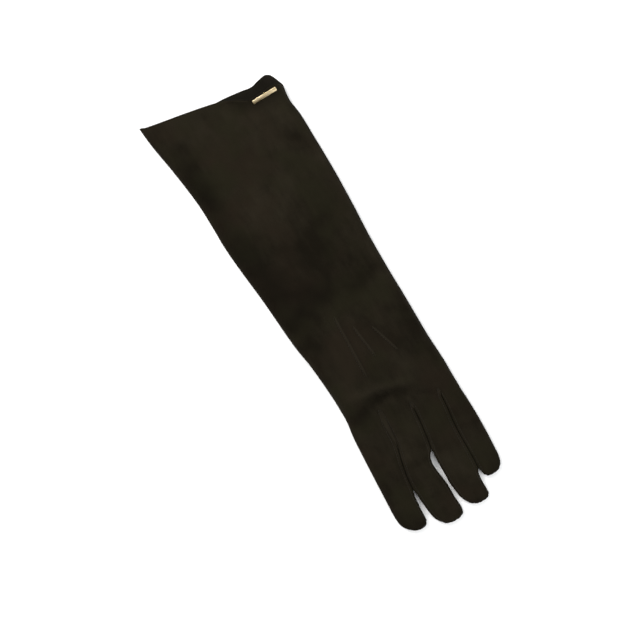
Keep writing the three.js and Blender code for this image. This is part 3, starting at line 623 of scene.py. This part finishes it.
def cut_oval(points, faces, looks_down):
    """Opens the hole between the palm and the thumb's pouch in faces that look down, or up."""
    along, across = thumb_place(points[:, 0], points[:, 1])
    along = (along - HOLE_ALONG) / HOLE_HALF_LENGTH
    across = across / HOLE_HALF_WIDTH
    reach = np.hypot(along, across)
    up = vertex_normals(points, faces)[:, 2]
    inside = (reach < 1) & ((up < -HOLE_FACING) if looks_down else (up > HOLE_FACING))
    kept = [ring for ring in faces if not all(inside[v] for v in ring)]
    open_edge = [v for v in rim_points(kept) if HOLE_EDGE[0] < reach[v] < HOLE_EDGE[1] and inside[v]]
    for v in open_edge:
        at = [along[v] / reach[v] * HOLE_HALF_LENGTH + HOLE_ALONG,
              across[v] / reach[v] * HOLE_HALF_WIDTH]
        points[v, :2] = THUMB_ROOT + thumb_axis * at[0] + thumb_across * at[1]
    return points, kept


def put_in_scene(name, data):
    thing = bpy.data.objects.new(name, data)
    bpy.context.scene.collection.objects.link(thing)
    return thing


def make_object(name, points, faces, materials, painted_light=None, outward=False):
    """A mesh object from points in millimetres, with the painted light and shade at each point."""
    mesh = bpy.data.meshes.new(name)
    mesh.from_pydata((np.asarray(points) * MM).tolist(), [], faces)
    if painted_light is not None:
        values = mesh.attributes.new("painted_light", "FLOAT", "POINT").data
        values.foreach_set("value", np.asarray(painted_light, np.float32))
    work = bmesh.new()
    work.from_mesh(mesh)
    loose = [v for v in work.verts if not v.link_faces]
    bmesh.ops.delete(work, geom=loose, context="VERTS")
    for face in work.faces:
        face.smooth = True
    if outward:
        bmesh.ops.recalc_face_normals(work, faces=work.faces)
    work.to_mesh(mesh)
    work.free()
    for material in materials:
        mesh.materials.append(material)
    return put_in_scene(name, mesh)


def thicken(piece, wall):
    """Gives leather its thickness, with the second material inside and the third, darker as painted shade, on
    the cut edge.
    """
    solidify = piece.modifiers.new("wall", "SOLIDIFY")
    solidify.thickness = wall * MM
    solidify.offset = -1
    solidify.use_even_offset = False
    solidify.use_rim = True
    solidify.material_offset = 1
    solidify.material_offset_rim = 2
    graph = bpy.context.evaluated_depsgraph_get()
    made = bpy.data.meshes.new_from_object(piece.evaluated_get(graph))
    piece.modifiers.clear()
    old = piece.data
    piece.data = made
    bpy.data.meshes.remove(old)


def belongs(piece, slot_name, *nodes):
    """Puts a piece on the glove's one body and hides the solids that it stands for. slot_name is not used."""
    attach(piece, "root")
    if nodes:
        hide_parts(*nodes)


# Materials

# Suede: the nap's dark and light colours, mixed by brushed patches and by painted light and shade, its
# reddish and olive patches, and how rough it is
SUEDES = {
    "suede": ((0.0058, 0.0046, 0.0027), (0.0134, 0.0110, 0.0069),
              (0.0112, 0.0080, 0.0050), (0.0095, 0.0086, 0.0044), 1.0),
    "suede_inside": ((0.0066, 0.0057, 0.0042), (0.0128, 0.0113, 0.0084),
                     (0.0108, 0.0086, 0.0066), (0.0094, 0.0088, 0.0060), 0.6),
    # A darker copy for the cut edges: painted shade
    "suede_edge_painted_shade": ((0.0030, 0.0025, 0.0017), (0.0062, 0.0051, 0.0034),
                   (0.0050, 0.0038, 0.0026), (0.0044, 0.0041, 0.0022), 0.6),
    # A lighter copy for ribs, puffs and points: painted light
    "suede_ridge_painted_light": ((0.0083, 0.0068, 0.0043), (0.0162, 0.0134, 0.0088),
                    (0.0128, 0.0098, 0.0064), (0.0114, 0.0104, 0.0058), 0.8),
}
SHADE_COLOUR = (0.0018, 0.0015, 0.001)
SHEEN_TINT = (0.6, 0.5, 0.38, 1)
THREAD_COLOURS = ((0.007, 0.0056, 0.004), (0.019, 0.0154, 0.0102))
GOLD_COLOURS = ((0.80, 0.63, 0.36), (0.92, 0.77, 0.50))
FLOOR_COLOURS = ((0.93, 0.93, 0.93), (0.95, 0.95, 0.95))


def node_material(name):
    """A material, its shader and the object's own coordinates."""
    material = bpy.data.materials.new(name)
    material.use_nodes = True
    tree = material.node_tree
    tree.nodes.clear()
    output = tree.nodes.new("ShaderNodeOutputMaterial")
    shader = tree.nodes.new("ShaderNodeBsdfPrincipled")
    tree.links.new(shader.outputs["BSDF"], output.inputs["Surface"])
    place = tree.nodes.new("ShaderNodeTexCoord").outputs["Object"]
    return material, shader, place


def set_inputs(node, inputs):
    """Sets a node's inputs, each to a value or to another node's output."""
    for name, value in inputs.items():
        if isinstance(value, bpy.types.NodeSocket):
            node.id_data.links.new(value, node.inputs[name])
        else:
            node.inputs[name].default_value = value


def add_node(kind, inputs):
    """A shader node, in the tree of the first node that it reads."""
    node = next(iter(inputs.values())).id_data.nodes.new("ShaderNode" + kind)
    if kind == "Mix":
        node.data_type = "RGBA"
    set_inputs(node, inputs)
    return node


def add_noise(coordinates, scale, detail, roughness=0.55, stretch=(1, 1, 1)):
    """Noise at a scale in lumps to the metre."""
    mapping = add_node("Mapping", {"Vector": coordinates, "Scale": stretch})
    texture = add_node("TexNoise", {"Vector": mapping.outputs["Vector"], "Scale": scale,
                                    "Detail": detail, "Roughness": roughness})
    return texture.outputs["Fac"]


def add_range(value, low, high, to_low, to_high):
    """Takes a value's range from low to high onto another range."""
    scaled = add_node("MapRange", {"Value": value, "From Min": low, "From Max": high,
                                   "To Min": to_low, "To Max": to_high})
    return scaled.outputs["Result"]


def add_math(operation, a, b):
    node = add_node("Math", {0: a, 1: b})
    node.operation = operation
    return node.outputs["Value"]


def add_mix(factor, first, second):
    """Mixes two colours, each of them fixed or another node's output."""
    first, second = ((*colour, 1) if isinstance(colour, tuple) else colour for colour in (first, second))
    return add_node("Mix", {"Factor": factor, "A": first, "B": second}).outputs["Result"]


def add_bump(height, strength, distance):
    bump = add_node("Bump", {"Height": height, "Strength": strength, "Distance": distance})
    return bump.outputs["Normal"]


def suede_material(name):
    """Suede: a matt nap in brushed patches, reddish and olive in places, with painted light on crests and
    painted shade in folds.
    """
    dark, light, red, olive, nap = SUEDES[name]
    material, shader, place = node_material(name)
    patches = add_noise(place, 42, 3, 0.5)
    strokes = add_noise(place, 170, 2, 0.6, stretch=(1, 0.3, 1))
    grain = add_noise(place, 1500, 3, 0.7)
    painted_light = material.node_tree.nodes.new("ShaderNodeAttribute")
    painted_light.attribute_name = "painted_light"
    painted_light = painted_light.outputs["Fac"]
    brushed = add_math("ADD", add_range(patches, 0.32, 0.68, 0, 0.55), add_range(strokes, 0.3, 0.7, 0, 0.35))
    grained = add_math("ADD", brushed, add_range(grain, 0.3, 0.7, -0.25 * nap, 0.25 * nap))
    # Painted light: lighter towards the light colour on crests and along light lines
    with_painted_light = add_math("ADD", grained, add_math("MULTIPLY", painted_light, 0.5))
    reddish = add_range(add_noise(place, 27, 2, 0.55), 0.48, 0.66, 0, 0.6)
    greenish = add_range(add_noise(place, 33, 2, 0.55, stretch=(1, 1, -1)), 0.47, 0.64, 0, 0.6)
    tinted = add_mix(greenish, add_mix(reddish, add_mix(with_painted_light, dark, light), red), olive)
    # Painted shade: darker towards SHADE_COLOUR in folds and along dark lines
    shade = add_range(painted_light, -0.3, DARKEST_LINE, 0, 0.42)
    fibres = add_noise(place, 2600, 2, 0.8)
    height = add_math("ADD", add_math("MULTIPLY", fibres, 0.5), add_math("MULTIPLY", grain, 0.8))
    set_inputs(shader, {
        "Base Color": add_mix(shade, tinted, SHADE_COLOUR), "Roughness": 0.95, "Specular IOR Level": 0.03,
        "Sheen Weight": 0.012, "Sheen Roughness": 0.5, "Sheen Tint": SHEEN_TINT,
        "Normal": add_bump(height, 0.4 * nap, 0.0004)})
    return material


def thread_material():
    """Matt twisted thread in the suede's colour."""
    material, shader, place = node_material("thread")
    twist = add_noise(place, 3200, 1)
    set_inputs(shader, {
        "Base Color": add_mix(twist, *THREAD_COLOURS), "Roughness": 0.6, "Specular IOR Level": 0.2,
        "Normal": add_bump(twist, 0.3, 0.0001)})
    return material


def metal_material():
    """Pale gold plate, polished, with the faint lines of its brushing."""
    material, shader, place = node_material("pale_gold")
    brushing = add_noise(place, 900, 2, 0.6, stretch=(0.06, 1, 1))
    cloud = add_range(add_noise(place, 220, 2), 0.35, 0.65, 0, 1)
    set_inputs(shader, {
        "Base Color": add_mix(cloud, *GOLD_COLOURS), "Metallic": 1,
        "Roughness": add_range(brushing, 0.3, 0.7, 0.2, 0.36), "Normal": add_bump(brushing, 0.12, 0.00005)})
    return material


def floor_material():
    material, shader, place = node_material("pale_floor")
    cloud = add_mix(add_noise(place, 3, 2), *FLOOR_COLOURS)
    set_inputs(shader, {"Base Color": cloud, "Roughness": 0.9, "Specular IOR Level": 0.1})
    return material


# Trank

def finger_faces(work, place, root):
    """The back and the palm side of one finger on the arm's last row, and the lines where it is sewn."""
    name = FINGER_NAMES[place]
    rows = FINGERS[name]
    row = finger_rows(rows, last_row(rows))
    seam = seam_angle(rows, row)
    start = seam if place > 0 else np.zeros_like(row)
    end = 180 - (seam if place < 3 else np.zeros_like(row))
    t = np.linspace(0, 1, ACROSS_FINGER + 1)
    angles = start[:, None] * (1 - t) + end[:, None] * t
    grid_row = np.broadcast_to(row[:, None], angles.shape)
    top_ids = place * ACROSS_FINGER + np.arange(ACROSS_FINGER + 1)
    under_ids = (AROUND - top_ids) % AROUND
    top = finger_point(rows, angles, grid_row)
    under = finger_point(rows, -angles, grid_row)
    top[-1], under[-1] = top[-1, 0], top[-1, 0]
    top_grid = work.grid(np.concatenate([root[top_ids][None], top]))
    under_grid = work.grid(np.concatenate([root[under_ids][None], under]), flip=True)
    open_rows = int(np.sum(seam > 0)) + 2
    lines = {}
    for side, column, sewn in (("radial", 0, place > 0), ("ulnar", -1, place < 3)):
        if sewn:
            lines[f"{name}_{side}_back"] = top_grid[:open_rows, column]
            lines[f"{name}_{side}_palm"] = under_grid[:open_rows, column]
    lines[f"{name}_radial_tip"] = top_grid[open_rows - 1:, 0]
    lines[f"{name}_ulnar_tip"] = top_grid[open_rows - 1:, -1]
    if place == 3:
        lines["side"] = top_grid[1:open_rows, -1]
    return lines


def trank_outer():
    """The outer face of the main leather, and its seam lines."""
    work = Patchwork()
    around = np.arange(AROUND) / FINE
    along = np.linspace(0, 1, ARM_ROWS + 1)
    arm = arm_point(*np.meshgrid(around, along))
    arm_grid = work.grid(arm, closed=True)
    lines = {}
    for place in range(4):
        lines.update(finger_faces(work, place, arm[-1]))
    lines["side"] = np.concatenate([arm_grid[:, COLUMNS * FINE], lines["side"]])
    points, faces, number = work.weld()
    return points, faces, {key: number[ids] for key, ids in lines.items()}


def relax_roots(points, faces):
    """Evens out the leather where the fingers begin: points move towards their neighbours' middle."""
    from_roots = points[:, 1] - y_on(ROOT_LINE, points[:, 0])
    weight = np.exp(-(from_roots / ROOT_RELAX_REACH) ** 2)
    weight[rim_points(faces)] = 0
    weight[points[:, 2] < GROUND_HEIGHT] = 0
    edges = np.array(sorted(edge_counts(faces)))
    count = np.bincount(edges.ravel(), minlength=len(points))[:, None]
    for _ in range(ROOT_RELAX_ROUNDS):
        total = np.zeros_like(points)
        np.add.at(total, edges[:, 0], points[edges[:, 1]])
        np.add.at(total, edges[:, 1], points[edges[:, 0]])
        points = points + weight[:, None] * 0.5 * (total / np.maximum(count, 1) - points)
    return points


def build_trank(materials):
    """The one piece of leather that makes the arm, palm, back and fingers."""
    points, faces, lines = trank_outer()
    points = drape(relax_roots(points, faces), faces)
    normals = vertex_normals(points, faces)
    seams = {key: (points[ids], normals[ids]) for key, ids in lines.items()}
    points, faces = cut_oval(points, faces, True)
    # Painted light and shade, only on faces that look up
    painted_light = painted_light_at(points[:, 0], points[:, 1]) * np.clip(normals[:, 2], 0, 1)
    piece = make_object("suede_trank", points, faces, materials, painted_light)
    thicken(piece, WALL)
    belongs(piece, "suede", "trank")
    return seams


# Side walls

def meet_neighbour(leg, place, ulnar_side, t):
    """Bows a side wall out to the next finger's wall, just below the seams, where the two fingers touch."""
    near = FINGERS[FINGER_NAMES[place]]
    far = FINGERS[FINGER_NAMES[place + 1]]
    y = leg[:, :, 1]
    near_edge = curve_through(near["y_ulnar"], near["x_ulnar"], y)
    far_edge = curve_through(far["y_radial"], far["x_radial"], y)
    touching = 1 - smoothstep(TOUCHING_GAP, PARTED_GAP, near_edge - far_edge)
    middle = (near_edge + far_edge) / 2 + (-SQUASH / 2 if ulnar_side else SQUASH / 2)
    beyond = (y - CROTCHES["y"][place]) / CROTCHES["puff"][place]
    fullness = PUFF_FULLNESS + (WALL_FULLNESS - PUFF_FULLNESS) * smoothstep(PUFF_WALL_FADE, 1, beyond)
    seam = leg[:, :1, 0]
    met = seam + (middle - seam) * np.maximum(np.cos(t * math.pi / 2), 0) ** fullness
    bowed = leg.copy()
    bowed[:, :, 0] += (met - leg[:, :, 0]) * touching
    return bowed


def wall_leg(place, ulnar_side, t):
    """The part of a strip that lines one finger, from its root towards its tip."""
    rows = FINGERS[FINGER_NAMES[place if ulnar_side else place + 1]]
    row = finger_rows(rows, last_row(rows) - WINDOW_END - WALL_SHORT)
    turn = seam_angle(rows, row)[:, None] * t
    angle = 180 - turn if ulnar_side else turn
    leg = finger_point(rows, angle, np.broadcast_to(row[:, None], angle.shape))
    return meet_neighbour(leg, place, ulnar_side, t)


def wall_parting(place):
    """The strip's line round the parting, from the back down to the palm."""
    column = (place + 1.0) * FINGER_COLUMNS
    ends = arm_point(np.array([column, 2 * COLUMNS - column]), np.ones(2))
    top, bottom = ends + np.array([[0, 1, -1], [0, 1, 1]]) / math.sqrt(2) * PARTING_GAP
    share = np.linspace(0, 1, WALL_STEPS + 1)[:, None]
    parting = top * (1 - share) + bottom * share
    parting[:, 1] += PARTING_BULGE * np.sin(math.pi * share[:, 0])
    return parting


def build_side_wall(place, materials):
    """The strip between two fingers: down the side of one, round the parting and up the side of the next."""
    t = np.sin(np.linspace(0.5, -0.5, WALL_STEPS + 1) * math.pi)
    near, far = wall_leg(place, True, t), wall_leg(place, False, t)
    strip = np.concatenate([near[::-1], wall_parting(place)[None], far])
    x, y = strip[:, :, 0], strip[:, :, 1]
    strip[:, :, 2] += WALL_DRAPE * (relief(x, y) * np.maximum(t, 0) + palm_sag(x, y) * np.maximum(-t, 0))
    work = Patchwork()
    work.grid(strip, flip=True)
    points, faces, _ = work.weld()
    fingers = f"{FINGER_NAMES[place]}_{FINGER_NAMES[place + 1]}"
    piece = make_object(f"side_strip_{fingers}", points, faces, materials)
    thicken(piece, WALL)
    belongs(piece, "suede", f"fourchette_{fingers}")


# Thumb

def thumb_point(angle, row):
    across, upward = section(angle, THUMB_SQUARENESS)
    across = row_at(THUMB, "half", row) * across
    along = row_at(THUMB, "along", row)
    return np.stack([
        THUMB_ROOT[0] + thumb_axis[0] * along + thumb_across[0] * across,
        THUMB_ROOT[1] + thumb_axis[1] * along + thumb_across[1] * across,
        height_at(THUMB, row, upward)], axis=-1)


def build_thumb(materials):
    """The thumb's pouch, and the line of its own seam."""
    row = np.linspace(0, last_row(THUMB), THUMB_ROWS)
    angle = np.arange(THUMB_COLUMNS) * 360 / THUMB_COLUMNS
    work = Patchwork()
    work.grid(thumb_point(*np.meshgrid(angle, row)), closed=True)
    points, faces, _ = work.weld()
    points, faces = cut_oval(points, faces, False)
    piece = make_object("suede_thumb", points, faces, materials)
    thicken(piece, THUMB_WALL)
    belongs(piece, "suede", "thumb")
    seam_row = np.linspace(*THUMB_SEAM)
    seam = thumb_point(np.full_like(seam_row, 180.0), seam_row)
    return seam, np.broadcast_to(np.array([-thumb_across[0], -thumb_across[1], 0.0]), seam.shape)


# Seams and points

def circle(sides):
    """Angles of the points round a ring."""
    return np.arange(sides) * 2 * math.pi / sides


def resample(line, normals, step):
    """Points at even steps along a line, with the surface's direction and the line's own at each."""
    moved = np.linalg.norm(np.diff(line, axis=0), axis=1)
    keep = np.concatenate([[True], moved > 1e-4])
    line, normals = line[keep], normals[keep]
    travelled = travelled_along(line)
    at = np.linspace(0, travelled[-1], max(int(round(travelled[-1] / step)), 2) + 1)
    placed, outward = (np.stack([np.interp(at, travelled, part[:, k]) for k in range(3)], axis=-1)
                       for part in (line, normals))
    heading = np.gradient(placed, axis=0)
    heading /= np.linalg.norm(heading, axis=1)[:, None]
    outward -= heading * np.sum(outward * heading, axis=1)[:, None]
    outward /= np.maximum(np.linalg.norm(outward, axis=1), 1e-9)[:, None]
    return placed, outward, heading, at


def add_welt(work, line, normals, radius, sink):
    """A raised rib of leather along a seam, pinched in at each stitch."""
    placed, outward, heading, at = resample(line, normals, STITCH_PITCH / 4)
    aside = np.cross(heading, outward)
    ends = np.minimum(1, np.minimum(at, at[-1] - at) / WELT_END) ** 0.5
    size = (radius - WELT_PINCH * np.cos(2 * math.pi * at / STITCH_PITCH)) * ends
    angle = circle(WELT_SIDES)
    ring = (np.cos(angle)[None, :, None] * aside[:, None] + np.sin(angle)[None, :, None] * outward[:, None])
    work.grid((placed - outward * sink)[:, None] + ring * size[:, None, None], closed=True)


def add_stitches(work, line, normals, lift, lean=STITCH_LEAN):
    """Short stitches that lie across a seam's rib at an angle."""
    placed, outward, heading, _ = resample(line, normals, STITCH_PITCH)
    placed, outward, heading = placed[1:-1], outward[1:-1], heading[1:-1]
    aside = np.cross(heading, outward)
    slant = math.radians(lean)
    heading = heading * math.cos(slant) + aside * math.sin(slant)
    aside = np.cross(heading, outward)
    stations = STITCH_SHAPE["along"] * STITCH_LENGTH
    sizes = STITCH_SHAPE["thickness"] * STITCH_RADIUS
    drop = STITCH_SHAPE["drop"]
    angle = circle(STITCH_SIDES)
    for centre, out, forward, sideways in zip(placed, outward, heading, aside):
        ring = np.cos(angle)[:, None] * sideways + np.sin(angle)[:, None] * out
        middle = centre + out * (lift - drop)[:, None] + forward * stations[:, None]
        work.grid(middle[:, None] + ring[None] * sizes[:, None, None], closed=True)


def add_seam(ribs, stitches, line, normals, kind):
    radius, sink = WELTS[kind]
    add_welt(ribs, line, normals, radius, sink)
    add_stitches(stitches, line, normals, radius - sink)


def add_puff(work, near_seam, far_seam, place):
    """The side strip's leather that swells up between two fingers' seams, next to where they part."""
    length = CROTCHES["puff"][place]
    share = np.linspace(0, 1, int(length / PUFF_STEP) + 1)
    y = CROTCHES["y"][place] + PUFF_START + share * length
    near, far = (np.stack([np.interp(y, line[:, 1], line[:, k]) for k in (0, 2)], axis=-1)
                 for line in (near_seam, far_seam))
    full = min(PUFF_SWELL_MOST, PUFF_SWELL / length)
    swell = smoothstep(0, full, share) * (1 - smoothstep(PUFF_FADE, 1, share))
    turn = circle(RIDGE_SIDES)
    across = np.cos(turn) * (CROTCHES["half"][place] * swell)[:, None]
    upward = np.where(np.sin(turn) > 0, PUFF_RISE, PUFF_SINK) * np.sin(turn) * swell[:, None]
    x = (near[:, :1] + far[:, :1]) / 2 + across
    z = (near[:, 1:] + far[:, 1:]) / 2 + upward
    work.grid(np.stack([x, np.broadcast_to(y[:, None], x.shape), z], axis=-1), closed=True)


def make_rib_piece(name, work, material):
    points, faces, _ = work.weld(FINE_WELD_REACH)
    belongs(make_object(name, points, faces, [material], outward=True), "suede")


def build_seams(seams, thumb_seam, ridge, thread):
    """Ribs and stitches along every seam of the fingers, the side and the thumb."""
    ribs = Patchwork()
    stitches = Patchwork()
    for key, (line, normals) in seams.items():
        kind = key.split("_")[-1]
        add_seam(ribs, stitches, line, normals, kind if kind in WELTS else "finger")
    for place in range(3):
        near, far = FINGER_NAMES[place], FINGER_NAMES[place + 1]
        add_puff(ribs, seams[f"{near}_ulnar_back"][0], seams[f"{far}_radial_back"][0], place)
    add_seam(ribs, stitches, *thumb_seam, "tip")
    make_rib_piece("seam_ribs", ribs, ridge)
    make_rib_piece("seam_stitches", stitches, thread)


def point_line(x0, y0, x1, y1):
    """Shares and places along one point's crest, and the direction across it."""
    length = math.hypot(x1 - x0, y1 - y0)
    t = np.linspace(0, 1, int(length / POINT_STEP) + 1)
    return t, x0 + (x1 - x0) * t, y0 + (y1 - y0) * t, ((y1 - y0) / length, -(x1 - x0) / length)


def add_ridge(work, t, x, y, side, size):
    """A narrow ridge along a point's crest, closed at both ends."""
    near_end = np.minimum(t, 1 - t)
    grown = np.minimum(1, POINT_END + POINT_RATE * near_end)
    taper = size * grown * smoothstep(0, POINT_CLOSE, near_end)
    turn = circle(RIDGE_SIDES)
    crest = POINT_RISE * np.abs(np.sin(turn)) ** POINT_SHARPNESS
    upward = np.where(np.sin(turn) > 0, crest, POINT_SINK * np.sin(turn))
    across = np.cos(turn)[None] * POINT_WIDTH / 2 * taper[:, None]
    place_x = x[:, None] + side[0] * across
    place_y = y[:, None] + side[1] * across
    height = draped_back(place_x, place_y) + upward[None] * taper[:, None]
    work.grid(np.stack([place_x, place_y, height], axis=-1), closed=True)


def add_flank_stitches(work, x, y, side, size):
    """A row of stitches beside a point's crest."""
    x = x + side[0] * POINT_WIDTH * size * FLANK_ASIDE
    y = y + side[1] * POINT_WIDTH * size * FLANK_ASIDE
    flank = np.stack([x, y, draped_back(x, y)], axis=-1)
    outward = np.array([side[0] * FLANK_OUT, side[1] * FLANK_OUT, FLANK_UP])
    add_stitches(work, flank, np.broadcast_to(outward, flank.shape), POINT_RISE * size * FLANK_LIFT, lean=0)


def build_points(ridge, thread):
    """The three tucks: narrow ridges with a row of stitches beside each crest."""
    ridges = Patchwork()
    stitches = Patchwork()
    for x0, y0, x1, y1, size in zip(*POINTS.values()):
        t, x, y, side = point_line(x0, y0, x1, y1)
        add_ridge(ridges, t, x, y, side, size)
        add_flank_stitches(stitches, x, y, side, size)
    make_rib_piece("point_ridges", ridges, ridge)
    make_rib_piece("point_stitches", stitches, thread)


# Plate

def build_plate(material):
    """The bare metal plate with its edges softened."""
    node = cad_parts["metal_plate"]
    work = bmesh.new()
    work.from_mesh(node.data)
    bmesh.ops.transform(work, matrix=node.matrix_world, verts=work.verts)
    bmesh.ops.remove_doubles(work, verts=work.verts, dist=1e-6)
    bmesh.ops.dissolve_limit(work, angle_limit=math.radians(PLATE_FLAT), verts=work.verts, edges=work.edges)
    top = [face for face in work.faces if face.normal.z > PLATE_TOP]
    upward = sum((face.normal * face.calc_area() for face in top), Vector())
    across = upward.cross(Vector((1, 0, 0))).normalized()
    centre = sum((vertex.co for vertex in work.verts), Vector()) / len(work.verts)
    for vertex in work.verts:
        inland = (vertex.co - centre).dot(across)
        vertex.co += across * (inland * (PLATE_NARROWING - 1) - PLATE_TO_RIM * MM)
    rims = [edge for edge in work.edges if edge.calc_face_angle(0) > math.radians(PLATE_RIM)]
    bmesh.ops.bevel(work, geom=rims, offset=PLATE_BEVEL * MM, segments=PLATE_BEVEL_STEPS, profile=0.5,
                    affect="EDGES")
    for face in work.faces:
        face.smooth = True
    mesh = bpy.data.meshes.new("cuff_plate")
    work.to_mesh(mesh)
    work.free()
    mesh.set_sharp_from_angle(angle=math.radians(PLATE_SHARP))
    mesh.materials.append(material)
    belongs(put_in_scene("cuff_plate", mesh), "plate", "metal_plate")


# Light, floor and camera

VIEW_SIDE = 497.0  # width of the view at the height of the glove's middle
VIEW_CENTRE = (16.02, 6.06)
GLOVE_MIDDLE = 6.0
CAMERA_HEIGHT = 2200.0
SENSOR_WIDTH = 36.0
IMAGE_RIGHT = Vector((-0.848, 0.530, 0)).normalized()
IMAGE_UP = Vector((-0.530, -0.848, 0)).normalized()

# Place and size in metres, watts and colour
SOFTBOXES = {
    "key_softbox": ((0.28, -1.15, 1.0), (0.7, 0.7), 22.5, (1, 0.985, 0.96)),
    "fill_softbox": ((-0.7, 0.9, 1.6), (1.2, 1.2), 12, (0.96, 0.98, 1)),
}
ROOM_AT_HORIZON = 0.45
ROOM_OVERHEAD = 1.15
OVERHEAD_FROM = 0.9  # how far up, of 1, the full brightness starts
FLOOR_HALF = 3.0  # metres


def place_camera():
    data = bpy.data.cameras.new("photo_camera")
    camera = put_in_scene("photo_camera", data)
    turn = Matrix((IMAGE_RIGHT, IMAGE_UP, IMAGE_RIGHT.cross(IMAGE_UP))).transposed()
    place = Vector((*VIEW_CENTRE, CAMERA_HEIGHT)) * MM
    camera.matrix_world = Matrix.Translation(place) @ turn.to_4x4()
    data.sensor_width = SENSOR_WIDTH
    data.lens = SENSOR_WIDTH * (CAMERA_HEIGHT - GLOVE_MIDDLE) / VIEW_SIDE
    bpy.context.scene.camera = camera


def add_softbox(name, place, size, power, colour):
    data = bpy.data.lights.new(name, "AREA")
    data.shape = "RECTANGLE"
    data.size = size[0]
    data.size_y = size[1]
    data.energy = power
    data.color = colour
    light = put_in_scene(name, data)
    light.location = place
    light.rotation_euler = (-Vector(place)).to_track_quat("-Z", "Y").to_euler()


def place_world():
    """A white room, brighter overhead than near the floor."""
    world = bpy.data.worlds.new("studio")
    world.use_nodes = True
    tree = world.node_tree
    around = tree.nodes.new("ShaderNodeTexCoord").outputs["Generated"]
    upward = add_node("SeparateXYZ", {"Vector": around}).outputs["Z"]
    strength = add_range(upward, 0, OVERHEAD_FROM, ROOM_AT_HORIZON, ROOM_OVERHEAD)
    set_inputs(tree.nodes["Background"], {"Color": (1, 1, 1, 1), "Strength": strength})
    bpy.context.scene.world = world


def place_floor():
    mesh = bpy.data.meshes.new("floor")
    corners = [(a * FLOOR_HALF, b * FLOOR_HALF, 0) for a, b in ((-1, -1), (1, -1), (1, 1), (-1, 1))]
    mesh.from_pydata(corners, [], [(0, 1, 2, 3)])
    mesh.materials.append(floor_material())
    floor = put_in_scene("floor", mesh)


def main():
    place_camera()
    # The last suede, for ribs, puffs and points, is the lighter copy with painted light
    *leather, ridge = [suede_material(name) for name in SUEDES]
    thread = thread_material()
    seams = build_trank(leather)
    for place in range(3):
        build_side_wall(place, leather)
    thumb_seam = build_thumb(leather)
    build_seams(seams, thumb_seam, ridge, thread)
    build_points(ridge, thread)
    build_plate(metal_material())
    place_floor()
    place_world()
    for name, softbox in SOFTBOXES.items():
        add_softbox(name, *softbox)
    bpy.context.scene.view_settings.view_transform = "Standard"


main()
